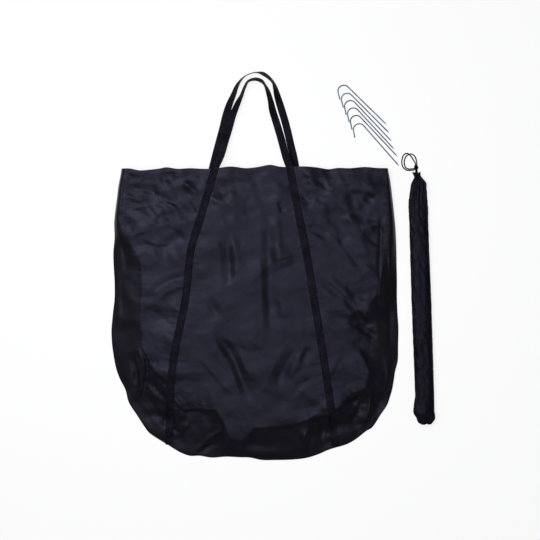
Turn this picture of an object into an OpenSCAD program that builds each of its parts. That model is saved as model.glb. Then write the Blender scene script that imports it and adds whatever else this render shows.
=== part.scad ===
// Lawn-game carry set: a round-bottomed net bag, six wire hook pegs and a drawstring pole pouch,
// laid out flat on the ground. X runs across the bag, Y from its round bottom to its mouth, Z up.
// The origin is on the ground, under the middle of the whole set.

/* [Bag] */
// Width of the bag across its mouth, fold to fold
bag_mouth_w = 881; // [800:1:920]
// Width of the bag where it is widest
bag_wide_w = 945.4; // [930:0.2:960]
// Depth of the bag from its mouth to its round bottom
bag_depth = 960; // [900:1:1000]
// Radius of the two round bottom corners
bag_corner_r = 380; // [350:1:420]
// Place of the bag's middle line along X
bag_x = -61.6; // [-70:0.2:-55]
// Place of the mouth's edge along Y
mouth_y = 320; // [310:1:330]
// Height of the front panel's outer face over the ground
bag_loft = 35.2; // [30:0.2:44]
// Half the width of the gusset, which lies folded outwards
gusset_fold = 75; // [60:1:85]
// Thickness of the coated cloth with its lining
cloth_t = 1.2; // [0.8:0.1:1.6]
// Width of the hem turned inside the mouth
hem_w = 20; // [12:1:28]
// Width of the tape that binds a seam inside the bag
tape_w = 10; // [8:1:14]

/* [Webbing] */
// Width of the webbing
web_w = 25; // [20:1:30]
// Thickness of the webbing
web_t = 1.6; // [1.2:0.1:1.8]

/* [Pegs] */
// Diameter of the peg wire
peg_wire_d = 4; // [3:0.1:4.3]
// Radius of the hook, to the middle of the wire
peg_hook_r = 19.5; // [18:0.1:19.5]
// Turn of the hook, in degrees
peg_hook_turn = 149; // [145:0.5:150]
// Length of the hook's free leg
peg_leg = 23.7; // [18:0.1:24]
// Length of the straight shank with its point
peg_shank = 177.5; // [150:0.5:180]
// Length of the ground point
peg_point = 10; // [6:1:16]
// Each peg's hook centre, and the angle of its shank below the X axis, in degrees
peg_places = [
    [234.3, 575, 44.3], [245.7, 548.4, 45.2], [256.1, 524.4, 46.5],
    [265.9, 499.9, 47.2], [275.5, 475.1, 46.8], [285.5, 447.7, 48.7]
];

/* [Pole pouch] */
// Length of the pouch with its gathered mouth
pouch_len = 831; // [820:1:835]
// Place of the pouch's closed end
pouch_at = [504.9, -524.7];
// Lean of the pouch to the left, in degrees
pouch_lean = 2.1; // [1.8:0.1:2.4]
// Thickness of the pouch's cloth
pouch_cloth_t = 1.2; // [0.8:0.1:1.4]

/* [Pole] */
// Outer diameter of a pole section
pole_d = 12.5; // [11:0.1:12.6]
// Wall of a pole section
pole_wall = 1.6; // [1.2:0.1:2]
// Length of a pole section
pole_len = 660; // [600:1:664]
// Length of ferrule that stands out of a section
ferrule_out = 40; // [30:1:42]
// Diameter of the elastic cord inside the pole
shock_d = 3; // [2:0.1:3.5]

/* [Drawcord] */
// Diameter of the drawcord
cord_d = 3.6; // [2:0.1:3.6]

/* [Hidden] */
PEGS = len(peg_places);
SECTIONS = 5;
JOINTS = SECTIONS - 1;

$fn = 64;
GAP = 0.4;                      // clearance between pieces that move apart
FAR = 2000;                     // larger than the whole set
SLIM = 0.02;                    // how much slimmer a bend is than the straight runs it joins
LAP = 0.3;                      // length by which a straight run laps over a bend

NYLON = "#2b2b37";
NYLON_DARK = "#1b1a20";
WEBBING = "#1a191e";
TAPE = "#141418";
ZINC = "#8f9ba3";
CORD = "#101012";
FIBREGLASS = "#26282c";
STEEL = "#a8abad";
CAP = "#0d0d0e";

// Bag outline: two bottom corner arcs, a short straight bottom and two sides that lean inwards.
arc_x = bag_wide_w / 2 - bag_corner_r;          // from the middle line to an arc's centre
arc_y = mouth_y - bag_depth + bag_corner_r;
corner_dx = bag_mouth_w / 2 - arc_x;            // from an arc's centre to the mouth's corner
corner_dy = mouth_y - arc_y;
corner_far = norm([corner_dx, corner_dy]);
side_lean = atan2(corner_dy, corner_dx) - acos(bag_corner_r / corner_far);
side_run = sqrt(corner_far * corner_far - bag_corner_r * bag_corner_r);

// Heights of the layers: webbing on the ground, back panel on it, front panel over the cavity.
floor_z = web_t;
back_top = floor_z + cloth_t;
front_z = bag_loft - cloth_t;
fold_z = floor_z + 2.4;                         // height of the gusset's outer fold
flank_t = 1.5;                                  // the sloping cloth, measured upwards
fold_in = 3;                                    // depth of the fold's filled corner

// Sewn webbing runs, from the mouth to the bottom, as points of their middle lines.
front_run_left = [[-191, 320], [-236, 166], [-271, 46], [-289, -112], [-333, -353], [-345, -640]];
front_run_right = [[56, 320], [85, 166], [109, 46], [135, -112], [180, -393], [212, -640]];
back_run_left = [[-200, 320], [-240, 166], [-270, 46], [-289, -112], [-333, -353], [-345, -640]];
back_run_right = [[75.5, 320], [92, 166], [109, 46], [135, -112], [180, -393], [212, -640]];

// Handle loops: x, y, how far the webbing is tipped on its edge, and its height over lying flat.
front_loop = [
    [-191, 320, 0, 35.2], [-171.8, 362, 4, 31], [-159.6, 404, 8, 22], [-145.6, 450, 16, 12],
    [-133, 490, 25, 11], [-123, 514, 35, 8], [-115, 534.6, 43, 1.5], [-104, 560, 60, 0],
    [-94.2, 586, 72, 0], [-82, 607, 75, 0], [-60, 614, 65, 0], [-40, 609, 62, 0],
    [-27, 595, 73, 0], [-17, 574, 56, 0], [-7.8, 542, 41, 0], [-1, 510, 20, 0],
    [11.4, 468, 8, 0.5], [23.9, 422, 4, 4], [33.7, 384, 2, 13], [43.6, 352, 1, 25],
    [56, 320, 0, 35.2]
];
back_loop = [
    [-200, 320, 0, 0], [-190, 360, 0, 0], [-179.5, 400, 2, 0], [-166, 450, 5, 0],
    [-156.4, 490, 8, 0], [-144.4, 530, 28, 0], [-131.5, 560, 43, 0], [-119.8, 590, 58, 0],
    [-106.3, 611, 75, 0], [-89, 626, 85, 0], [-69, 634, 85, 0], [-50, 636, 76, 0],
    [-33, 632, 58, 0], [-16, 621, 60, 0], [0.5, 603, 66, 0], [8.1, 583, 51, 0],
    [14.7, 558, 30, 0], [26.2, 520, 8, 0], [38.9, 478, 4, 0], [49.3, 438, 2, 0],
    [57.9, 400, 0, 0], [67.8, 360, 0, 0], [75.5, 320, 0, 0]
];
LOOP_STEPS = 3;                                 // rings drawn for each stretch of a handle

// Free drawcord: from the knot, round the loop and back to the knot.
loop_a = [
    [475.9, 328, 4], [475.7, 336, 2.6], [475, 342, 1.8], [473.4, 349, 1.8], [470.4, 357, 1.8],
    [465, 363.2, 1.8], [458, 367, 1.8], [450, 366, 1.8], [443, 362, 1.8], [438, 356, 1.8],
    [435, 348, 1.8], [434, 340, 1.8], [435, 332, 1.8], [437, 325, 1.8], [441, 320.4, 1.8],
    [448, 317.8, 1.8], [456, 317.6, 2.2], [467, 318.8, 4]
];
loop_b = [
    [471.7, 328, 4], [471, 334, 2.6], [469.4, 339, 1.8], [466.4, 344, 2], [462.6, 350, 3.2],
    [458.8, 356, 4.8], [454, 361.4, 6], [449, 366, 6.3], [442, 369, 5.4], [435, 366.4, 3.4],
    [430, 360, 1.8], [427, 351, 1.8], [426, 341, 1.8], [427, 332, 1.8], [430, 324, 1.8],
    [435, 317.8, 1.8], [441, 314.2, 1.8], [448, 313, 1.8], [456, 313, 2], [467, 314.2, 4]
];
stem_a = [[476.3, 303.8, 11], [476.3, 307, 10.4], [476.2, 311, 8.4], [476, 315.5, 5.6]];
stem_b = [[472.1, 303.8, 11], [472.1, 307, 10.4], [472.1, 311, 8.4], [472.1, 315.5, 5.6]];
knot_lobes = [[469.8, 317, 4.6], [476, 318.8, 5.2], [474, 327, 5]];
knot_r = 4.5;
CORD_SIDES = 8;

// Pouch stations along its length: half width, sideways bend, half height and height of the middle.
pouch_wide = [
    [0, 14.5], [6, 22.4], [13, 27.6], [20, 30], [26, 32.2], [33, 34.5], [40, 35.2], [53, 34.8],
    [66, 34], [79, 33], [92, 31.8], [145, 31.8], [300, 32.5], [409, 33], [574, 32], [640, 31.7],
    [700, 30.9], [740, 28.5], [753, 26.4], [772, 24.8], [792, 23.3], [799, 21.5], [805, 18.3],
    [812, 15], [819, 12.2], [824, 11.3], [831, 11]
];
pouch_bend = [
    [0, 1.3], [6, -1.4], [13, 0.5], [20, 0.6], [26, -1.3], [33, -4.2], [40, -5.5], [53, -4.8],
    [66, -3.9], [79, -2.5], [92, -0.6], [700, 0.8], [740, 1.2], [753, 2], [772, 3.9], [792, 6.1],
    [799, 6.2], [805, 5.2], [812, 3.9], [819, 2.6], [824, 0.2], [831, 0]
];
pouch_high = [
    [0, 9], [6, 11.4], [13, 13.3], [25, 14.6], [34, 15], [56, 14.6], [120, 14.2], [712, 14],
    [750, 13.6], [774, 13.2], [793, 12.4], [805, 11.2], [812, 10.2], [819, 9.2], [831, 9]
];
pouch_mid = [[0, 12], [25, 14.6], [34, 15], [120, 14.2], [712, 14], [774, 13.4], [807, 12], [831, 11]];
neck_from = 811;                                // where the gathered neck closes on the bore
neck_bore = 2.2;
mouth_recess = [824, 6.8];                      // where the gathered channel opens, and its radius
POUCH_SIDES = 28;
belly = 1.35;                                   // how much the underside is flattened
turn_r = 4.5;                                   // radius of the cord's turn inside the channel

// Pole: five sections fold side by side, three below and two above, in zigzag order.
pole_pitch = 13.4;
pole_low = 8.3;
pole_rise = 11.5;
pole_from = 58;                                 // distance of the sections from the closed end
ferrule_d = pole_d - 2 * pole_wall - 0.1;
ferrule_bore = 5.6;
ferrule_in = 40;
cord_reach = ferrule_out + 1;                   // from a section's end to where the cord turns
tip_d = 13.8;
tip_len = 24;
tip_end = 5;                                    // solid end of a tip
function pole_u(i) = (i - (SECTIONS - 1) / 2) * pole_pitch / 2;
function pole_z(i) = pole_low + (i % 2) * pole_rise;
function joint_at_top(k) = k % 2 == 0;

// ---- helpers ----

// Point of a smooth curve through rows p, at stretch i and fraction f along it.
function row(p, i) = p[max(0, min(len(p) - 1, i))];
function curve(p, i, f) =
    let (a = row(p, i - 1), b = row(p, i), c = row(p, i + 1), d = row(p, i + 2))
    b + f * (c - a) / 2 + f * f * (2 * a - 5 * b + 4 * c - d) / 2
    + f * f * f * (3 * b - a - 3 * c + d) / 2;
function smooth(p, steps) = [
    for (i = [0 : len(p) - 2], j = [0 : steps - 1]) curve(p, i, j / steps),
    p[len(p) - 1]
];
function unit(v) = v / norm(v);
function heading(p, i) = unit(row(p, i + 1) - row(p, i - 1));

// Closed polyhedron through rings of equal count, with flat ends.
module skin_rings(rings) {
    n = len(rings[0]);
    m = len(rings);
    faces = [
        [for (j = [n - 1 : -1 : 0]) j],
        for (i = [0 : m - 2], j = [0 : n - 1])
            let (a = i * n + j, b = i * n + (j + 1) % n)
            each [[a, b, b + n], [a, b + n, a + n]],
        [for (j = [0 : n - 1]) (m - 1) * n + j]
    ];
    polyhedron(points = [for (r = rings, q = r) q], faces = faces);
}

// Round tube along a path of points.
module tube(path, d, sides) {
    skin_rings([
        for (i = [0 : len(path) - 1])
            let (t = heading(path, i), s = unit(cross(t, [0, 0, 1])), u = cross(s, t))
            [for (j = [0 : sides - 1])
                path[i] + d / 2 * (cos(360 * j / sides) * s + sin(360 * j / sides) * u)]
    ]);
}

// Flat strap along rows of x, y, tip angle and lift. Its first and last faces lie along X.
module strap(rows) {
    path = smooth(rows, LOOP_STEPS);
    last = len(path) - 1;
    skin_rings([
        for (i = [0 : last])
            let (
                q = path[i],
                ahead = row(path, i + 1) - row(path, i - 1),
                t = unit([ahead.x, ahead.y, 0]),
                s = i == 0 || i == last ? [1 / t.y, 0, 0] : [t.y, -t.x, 0],
                tip = max(0, q[2]),
                lying = web_w / 2 * sin(tip) + web_t / 2 * cos(tip),
                w = web_w / 2 * (cos(tip) * s + sin(tip) * [0, 0, 1]),
                n = web_t / 2 * (cos(tip) * [0, 0, 1] - sin(tip) * s),
                c = [q.x, q.y, lying + max(0, q[3])]
            )
            [c - w - n, c + w - n, c + w + n, c - w + n]
    ]);
}

// Outline of the bag, drawn in by a distance, about its own middle line.
module bag_outline(inset) {
    r = bag_corner_r - inset;
    tangent = [arc_x + r * cos(side_lean), arc_y + r * sin(side_lean)];
    top_x = tangent.x - (mouth_y - tangent.y) * tan(side_lean);
    polygon([
        [-arc_x, arc_y - r], [arc_x, arc_y - r], tangent, [top_x, mouth_y],
        [-top_x, mouth_y], [-tangent.x, tangent.y]
    ]);
    for (side = [-1, 1])
        translate([side * arc_x, arc_y]) circle(r = r, $fn = 160);
}

// Carries a profile round the bag's sides and bottom. The profile's X is measured outwards from
// the seam between panel and gusset, and its Y is the height. Straight runs are fuller by SLIM.
module round_bag(top_y = mouth_y) {
    seam_r = bag_corner_r - gusset_fold;
    side = side_run + gusset_fold;
    intersection() {
        for (half = [0, 1])
            mirror([half, 0, 0]) {
                translate([0, arc_y - seam_r, 0])
                    rotate([90, 0, -90])
                        linear_extrude(arc_x + LAP) offset(delta = SLIM) children();
                translate([arc_x, arc_y, 0]) {
                    rotate([0, 0, -90])
                        rotate_extrude(angle = 90 + side_lean, $fn = 160)
                            translate([seam_r, 0]) children();
                    rotate([0, 0, side_lean])
                        translate([seam_r, side, 0])
                            rotate([90, 0, 0])
                                linear_extrude(side + LAP) offset(delta = SLIM) children();
                }
            }
        translate([-FAR / 2, top_y - FAR, -FAR / 4]) cube([FAR, FAR, FAR / 2]);
    }
}

// Point of a webbing run's edge, on one side of its middle line.
function run_edge(line, i, side) =
    let (t = heading(line, i))
    line[i] + side * web_w / 2 * [t.y, -t.x];

// Outline of a webbing run of the given middle line.
module run_outline(points) {
    line = smooth(points, 3);
    last = len(line) - 1;
    polygon(concat(
        [for (i = [0 : last]) run_edge(line, i, 1)],
        [for (i = [last : -1 : 0]) run_edge(line, i, -1)]
    ));
}

// ---- bag ----

module bag_back_panel() {
    color(NYLON_DARK) translate([bag_x, 0, 0]) {
        translate([0, 0, floor_z]) linear_extrude(cloth_t) bag_outline(gusset_fold);
        translate([0, 0, back_top]) mouth_hem();
    }
}

module bag_front_panel() {
    color(NYLON) translate([bag_x, 0, 0]) {
        translate([0, 0, front_z]) linear_extrude(cloth_t) bag_outline(gusset_fold);
        translate([0, 0, front_z - 1]) mouth_hem();
    }
}

// The mouth's edge turned over once to the inside.
module mouth_hem() {
    linear_extrude(1) intersection() {
        bag_outline(gusset_fold + 1);
        translate([-FAR / 2, mouth_y - hem_w]) square([FAR, hem_w]);
    }
}

module bag_gusset() {
    color(NYLON_DARK) translate([bag_x, 0, 0]) round_bag() gusset_profile();
}

module gusset_profile() {
    g = gusset_fold;
    polygon([
        [SLIM, floor_z], [g - fold_in, floor_z], [g, fold_z], [GAP, bag_loft],
        [GAP, bag_loft - flank_t], [g - fold_in, back_top], [SLIM, back_top]
    ]);
}

// Binds the front panel's edge, inside the bag.
module front_seam_tape() {
    color(TAPE) translate([bag_x, 0, 0]) round_bag(mouth_y - hem_w - 1)
        translate([-tape_w - GAP, front_z - cloth_t]) square([tape_w, cloth_t - SLIM]);
}

// Lies over the seam between back panel and gusset, inside the bag.
module back_seam_tape() {
    color(TAPE) translate([bag_x, 0, 0]) round_bag(mouth_y - hem_w - 1)
        translate([-tape_w / 2, back_top + 2 * SLIM]) square([tape_w, cloth_t]);
}

// ---- webbing ----

// A sewn run, cut to the panel it is sewn to.
module panel_web(line, z) {
    color(WEBBING) translate([0, 0, z]) linear_extrude(web_t) intersection() {
        run_outline(line);
        translate([bag_x, 0]) bag_outline(gusset_fold + GAP);
        translate([-FAR / 2, mouth_y - GAP - FAR]) square([FAR, FAR]);
    }
}

// The run's way round the outside of the gusset, from the front panel to the back panel.
module base_web(line) {
    g = gusset_fold;
    color(WEBBING) intersection() {
        translate([bag_x, 0, 0]) round_bag() polygon([
            [0, 0], [g - 2.4, 0], [g + 1.5, fold_z - 0.2], [GAP, bag_loft + web_t + 0.4],
            [GAP, bag_loft], [g, fold_z], [g - fold_in, floor_z], [0, floor_z]
        ]);
        translate([0, 0, -1]) linear_extrude(bag_loft + 10) run_outline(line);
    }
}

// ---- pegs ----

// Hook peg about the centre of its hook, shank along +X before it is turned.
module peg(i) {
    wire_r = peg_wire_d / 2;
    place = peg_places[i];
    color(ZINC)
        translate([place.x, place.y, wire_r])
            rotate([0, 0, -place.z]) {
                translate([-LAP, peg_hook_r, 0]) rotate([0, 90, 0]) {
                    cylinder(h = peg_shank - peg_point + LAP, r = wire_r);
                    translate([0, 0, peg_shank - peg_point + LAP])
                        cylinder(h = peg_point, r1 = wire_r, r2 = 0.4);
                }
                rotate([0, 0, 90])
                    rotate_extrude(angle = peg_hook_turn)
                        translate([peg_hook_r, 0]) circle(r = wire_r - SLIM);
                rotate([0, 0, peg_hook_turn])
                    translate([LAP, peg_hook_r, 0])
                        rotate([0, -90, 0]) cylinder(h = peg_leg + LAP, r = wire_r);
            }
}

// ---- pole pouch ----

module in_pouch() {
    translate([pouch_at.x, pouch_at.y, 0]) rotate([0, 0, pouch_lean]) children();
}

// One ring of the pouch's cloth at distance s, with half width and half height.
function pouch_ring(s, wide, high) = [
    for (j = [0 : POUCH_SIDES - 1])
        let (a = 360 * j / POUCH_SIDES, v = sin(a) < 0 ? max(-1, belly * sin(a)) : sin(a))
        [lookup(s, pouch_bend) + wide * cos(a), s, lookup(s, pouch_mid) + high * v]
];

module pouch_sleeve() {
    stations = [for (p = pouch_wide) p[0]];
    outer = [for (s = stations) pouch_ring(s, lookup(s, pouch_wide), lookup(s, pouch_high))];
    w = pouch_cloth_t;
    body = [for (s = stations) if (s < neck_from) max(s, w)];
    inner = [
        for (s = body) pouch_ring(s, lookup(s, pouch_wide) - w, lookup(s, pouch_high) - w),
        for (s = [neck_from, mouth_recess[0] - 0.5]) pouch_ring(s, neck_bore, neck_bore),
        for (s = [mouth_recess[0], pouch_len]) pouch_ring(s, mouth_recess[1], mouth_recess[1])
    ];
    // The rings run out along the outside and back along the inside, so the cloth is one skin.
    color(NYLON) in_pouch()
        skin_rings(concat(outer, [for (i = [len(inner) - 1 : -1 : 0]) inner[i]]));
}

module drawcord_turn() {
    color(CORD) in_pouch()
        translate([0, mouth_recess[0] + cord_d / 2 + 0.6, lookup(pouch_len, pouch_mid)])
            rotate([90, 0, 0])
                rotate_extrude() translate([turn_r, 0]) circle(r = cord_d / 2);
}

module drawcord_stem() {
    color(CORD) {
        tube(stem_a, cord_d, CORD_SIDES);
        tube(stem_b, cord_d, CORD_SIDES);
    }
}

module drawcord_loop(path) {
    lying = [for (p = smooth(path, 2)) [p.x, p.y, max(cord_d / 2, p.z)]];
    color(CORD) tube(lying, cord_d, CORD_SIDES);
}

module drawcord_knot() {
    color(CORD) hull()
        for (p = knot_lobes) translate(p) sphere(r = knot_r, $fn = 24);
}

// ---- folded pole inside the pouch ----

// Puts children on the axis of section i, with Z along the pouch from its closed end.
module on_section(i) {
    in_pouch() translate([pole_u(i), 0, pole_z(i)]) rotate([-90, 0, 0]) children();
}

module pole_section(i) {
    color(FIBREGLASS) on_section(i) translate([0, 0, pole_from]) difference() {
        cylinder(h = pole_len, d = pole_d);
        translate([0, 0, -1]) cylinder(h = pole_len + 2, d = pole_d - 2 * pole_wall);
    }
}

// Steel ferrule of joint k, fixed in section k and standing out of it.
module pole_ferrule(k) {
    from = joint_at_top(k) ? pole_from + pole_len - ferrule_in : pole_from - ferrule_out;
    color(STEEL) on_section(k) translate([0, 0, from]) difference() {
        cylinder(h = ferrule_in + ferrule_out, d = ferrule_d);
        translate([0, 0, -1]) cylinder(h = ferrule_in + ferrule_out + 2, d = ferrule_bore);
    }
}

// Rubber tip on the free end of the first or last section.
module pole_tip(i, at_top) {
    end = at_top ? pole_from + pole_len : pole_from;
    color(CAP) on_section(i) translate([0, 0, end]) mirror([0, 0, at_top ? 0 : 1]) difference() {
        translate([0, 0, tip_end - tip_len]) cylinder(h = tip_len, d = tip_d);
        translate([0, 0, tip_end - tip_len - 1]) cylinder(h = tip_len - tip_end + 1, d = pole_d);
    }
}

// Elastic cord through all the sections, with a half turn at each joint.
module pole_shock_cord() {
    turn = norm([pole_pitch / 2, pole_rise]) / 2;
    top = pole_from + pole_len + cord_reach;
    low = pole_from - cord_reach;
    color(CORD) {
        for (i = [0 : SECTIONS - 1]) {
            from = i == 0 ? pole_from : low - LAP;
            to = i == SECTIONS - 1 ? pole_from + pole_len : top + LAP;
            on_section(i) translate([0, 0, from]) cylinder(h = to - from, d = shock_d);
        }
        for (k = [0 : JOINTS - 1])
            in_pouch()
                translate([
                    (pole_u(k) + pole_u(k + 1)) / 2,
                    joint_at_top(k) ? top : low,
                    (pole_z(k) + pole_z(k + 1)) / 2
                ])
                    rotate([0, -atan2(pole_z(k + 1) - pole_z(k), pole_u(k + 1) - pole_u(k)), 0])
                        mirror([0, joint_at_top(k) ? 0 : 1, 0])
                            rotate_extrude(angle = 180)
                                translate([turn, 0]) circle(d = shock_d - 2 * SLIM);
    }
}

bag_back_panel();
bag_front_panel();
bag_gusset();
back_seam_tape();
front_seam_tape();
panel_web(front_run_left, bag_loft);  // front_web_left
panel_web(front_run_right, bag_loft);  // front_web_right
panel_web(back_run_left, 0);  // back_web_left
panel_web(back_run_right, 0);  // back_web_right
base_web(front_run_left);  // base_web_left
base_web(front_run_right);  // base_web_right
color(WEBBING) strap(front_loop);  // front_handle
color(WEBBING) strap(back_loop);  // back_handle
for (i = [1 : PEGS]) peg(i - 1);
pouch_sleeve();
drawcord_turn();
drawcord_stem();
drawcord_loop(loop_a);  // drawcord_loop_a
drawcord_loop(loop_b);  // drawcord_loop_b
drawcord_knot();
for (i = [1 : SECTIONS]) pole_section(i - 1);
for (i = [1 : JOINTS]) pole_ferrule(i - 1);
pole_tip(0, false);  // pole_tip_first
pole_tip(SECTIONS - 1, true);  // pole_tip_last
pole_shock_cord();
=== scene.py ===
# %% [markdown]
# # A net bag, its pegs and its pole pouch, laid out on the ground
#
# The set has three things in it: a flat carry bag of black satin nylon with webbing handles, six
# hook pegs bent from zinc-plated wire, and a slim drawstring pouch that holds a folded pole. The
# solid model comes first and stays fixed. Everything here dresses it: cloth that folds and
# puckers, webbing with its weave and stitches, a knotted cord, and finishes worked out from real
# sizes.
#
# The frame is metres, X across the bag, Y from its round bottom to its mouth, Z up from the
# ground.

import bpy
import numpy as np
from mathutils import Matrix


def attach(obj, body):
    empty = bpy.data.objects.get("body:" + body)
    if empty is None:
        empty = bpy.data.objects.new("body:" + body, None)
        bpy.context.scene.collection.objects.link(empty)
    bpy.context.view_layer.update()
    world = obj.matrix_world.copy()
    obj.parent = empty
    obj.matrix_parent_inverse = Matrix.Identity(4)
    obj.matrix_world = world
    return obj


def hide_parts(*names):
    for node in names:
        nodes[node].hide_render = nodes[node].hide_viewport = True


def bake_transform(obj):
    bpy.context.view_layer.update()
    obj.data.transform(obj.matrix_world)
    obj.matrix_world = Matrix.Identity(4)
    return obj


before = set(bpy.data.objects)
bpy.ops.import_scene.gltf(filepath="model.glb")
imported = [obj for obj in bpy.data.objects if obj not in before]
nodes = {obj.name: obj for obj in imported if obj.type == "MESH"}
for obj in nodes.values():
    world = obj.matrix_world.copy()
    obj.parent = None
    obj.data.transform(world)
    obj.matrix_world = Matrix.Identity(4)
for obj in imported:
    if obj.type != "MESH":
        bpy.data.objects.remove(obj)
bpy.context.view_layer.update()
MM = 0.001

# %% [markdown]
# ## The camera
#
# A catalogue lay-flat is shot from straight above with a long lens, so that nothing leans
# outwards. The lens follows from the width of ground that the picture takes in and from the
# camera's height: focal length is sensor width times height over ground width.

# %% Camera, straight above the set
GROUND_WIDE = 1782 * MM     # width of ground in the picture, at FOCUS_Z
FOCUS_Z = 20 * MM
CAMERA_X, CAMERA_Y, CAMERA_HIGH = -9.9 * MM, -16.5 * MM, 8.0
SENSOR = 36
camera_data = bpy.data.cameras.new("camera")
camera_data.sensor_width = SENSOR
camera_data.lens = SENSOR * (CAMERA_HIGH - FOCUS_Z) / GROUND_WIDE
camera_data.clip_end = 100
camera = bpy.data.objects.new("camera", camera_data)
camera.location = (CAMERA_X, CAMERA_Y, CAMERA_HIGH)
bpy.context.scene.collection.objects.link(camera)
bpy.context.scene.camera = camera
print("camera lens", round(camera_data.lens, 1), "mm")

# %% [markdown]
# ## Surfaces from grids
#
# Nearly every soft piece here is one grid of points: rows run one way over the piece, columns the
# other, and each cell is a four-sided face. A tube is the same grid with its last column joined to
# its first. Points are worked out as whole arrays in millimetres and turned to metres when the
# mesh is made. An edge that only one cell uses is marked sharp, so that the cloth's cut edge
# doesn't darken the surface beside it.

# %% A mesh as an object
def put_in_scene(name, mesh, body=None):
    """Makes a mesh an object at the origin, which rides on a CAD body if one is named."""
    piece = bpy.data.objects.new(name, mesh)
    bpy.context.scene.collection.objects.link(piece)
    if body:
        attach(piece, body)
    return piece


def sharpen_cut_edges(mesh):
    """Marks each edge that only one face uses as sharp."""
    used = np.zeros(len(mesh.loops), int)
    mesh.loops.foreach_get("edge_index", used)
    mesh.edges.foreach_set("use_edge_sharp", np.bincount(used, minlength=len(mesh.edges)) == 1)


def write_distances(mesh, along, across, cells, flip):
    """Gives each corner of a cell its row's distance along the piece and its column's distance
    across it. Corners go round the cell as its face does, and those of the caps stay at zero."""
    left, right = across[:cells], across[1:cells + 1]
    u = np.stack([along[:-1], along[:-1], along[1:], along[1:]], -1)[:, None]
    v = np.stack([left, right, right, left], -1)[None]
    pairs = np.stack(np.broadcast_arrays(u, v), -1).reshape(-1, 4, 2)
    if flip:
        pairs = pairs[:, ::-1]
    flat = np.zeros((len(mesh.loops), 2))
    flat[:pairs.size // 2] = pairs.reshape(-1, 2)
    layer = mesh.uv_layers.new(name="Distance")
    layer.data.foreach_set("uv", (flat * MM).ravel().astype(np.float32))


# %% Mesh maker
def surface(name, points, body, uv=None, wrap=False, flip=False, caps=False):
    """Makes a mesh object from points[row, column], in mm, riding on a CAD body, or on none when
    body is None. Cell (i, j) joins corners (i, j), (i, j+1), (i+1, j+1), (i+1, j).
    With wrap the last column joins the first, with caps both ends are closed, and flip turns every
    face over. uv = (along, across) gives each row's and column's distance in mm."""
    rows, columns = points.shape[:2]
    cells = columns if wrap else columns - 1
    index = np.arange(rows * columns).reshape(rows, columns)
    here = np.arange(cells)
    after = (here + 1) % columns
    quads = np.stack([index[:-1, here], index[:-1, after], index[1:, after], index[1:, here]], -1)
    faces = quads.reshape(-1, 4).tolist()
    if caps:
        faces += [index[0, ::-1].tolist(), index[-1].tolist()]
    if flip:
        faces = [face[::-1] for face in faces]
    mesh = bpy.data.meshes.new(name)
    mesh.from_pydata((points.reshape(-1, 3) * MM).tolist(), [], faces)
    if uv is not None:
        write_distances(mesh, np.asarray(uv[0], float), np.asarray(uv[1], float), cells, flip)
    mesh.shade_smooth()
    sharpen_cut_edges(mesh)
    return put_in_scene(name, mesh, body)


# %% [markdown]
# ## Smooth paths
#
# Outlines, straps and cords are drawn as a few points. A Catmull-Rom curve passes through
# all of them and leaves each one parallel to the line between its neighbours, so it never
# overshoots much.

# %% Curves through points
def smooth(points, steps=12):
    """Catmull-Rom curve through points, with steps stretches between each two. Between b and c,
    with a before and d after them and f from 0 to 1, it is
    b + f (c - a) / 2 + f^2 (2a - 5b + 4c - d) / 2 + f^3 (3b - a - 3c + d) / 2."""
    p = np.asarray(points, float)
    first = np.arange(len(p) - 1)
    a, b, c, d = (p[np.clip(first + k, 0, len(p) - 1)][:, None] for k in (-1, 0, 1, 2))
    f = np.linspace(0, 1, steps, endpoint=False)[None, :, None]
    curve = b + f * (c - a) / 2 + f**2 * (2 * a - 5 * b + 4 * c - d) / 2
    curve = curve + f**3 * (3 * b - a - 3 * c + d) / 2
    return np.vstack([curve.reshape(-1, p.shape[1]), p[-1:]])


def lengths(line):
    """Distance along a line at each of its points."""
    return np.concatenate([[0], np.cumsum(np.linalg.norm(np.diff(line, axis=0), axis=1))])


def even(line, count):
    """The same line with count points at equal distances along it."""
    along = lengths(line)
    at = np.linspace(0, along[-1], count)
    return np.stack([np.interp(at, along, line[:, k]) for k in range(line.shape[1])], -1)


def unit(v):
    """Each vector divided by its own length."""
    return v / np.linalg.norm(v, axis=-1, keepdims=True)


def tube(name, line, radius, body, sides=12):
    """Round tube: each ring is the line's point plus radius times (cos a * side + sin a * up),
    where side is square to the line and level, and up is square to both."""
    ahead = unit(np.gradient(line, axis=0))
    side = unit(np.cross(ahead, [0, 0, 1.0]))
    up = np.cross(side, ahead)
    a = np.linspace(0, 2 * np.pi, sides, endpoint=False)[None, :, None]
    rings = line[:, None] + radius * (np.cos(a) * side[:, None] + np.sin(a) * up[:, None])
    across = np.linspace(0, 2 * np.pi * radius, sides + 1)
    return surface(name, rings, body, uv=(lengths(line), across), wrap=True, caps=True)
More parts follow.
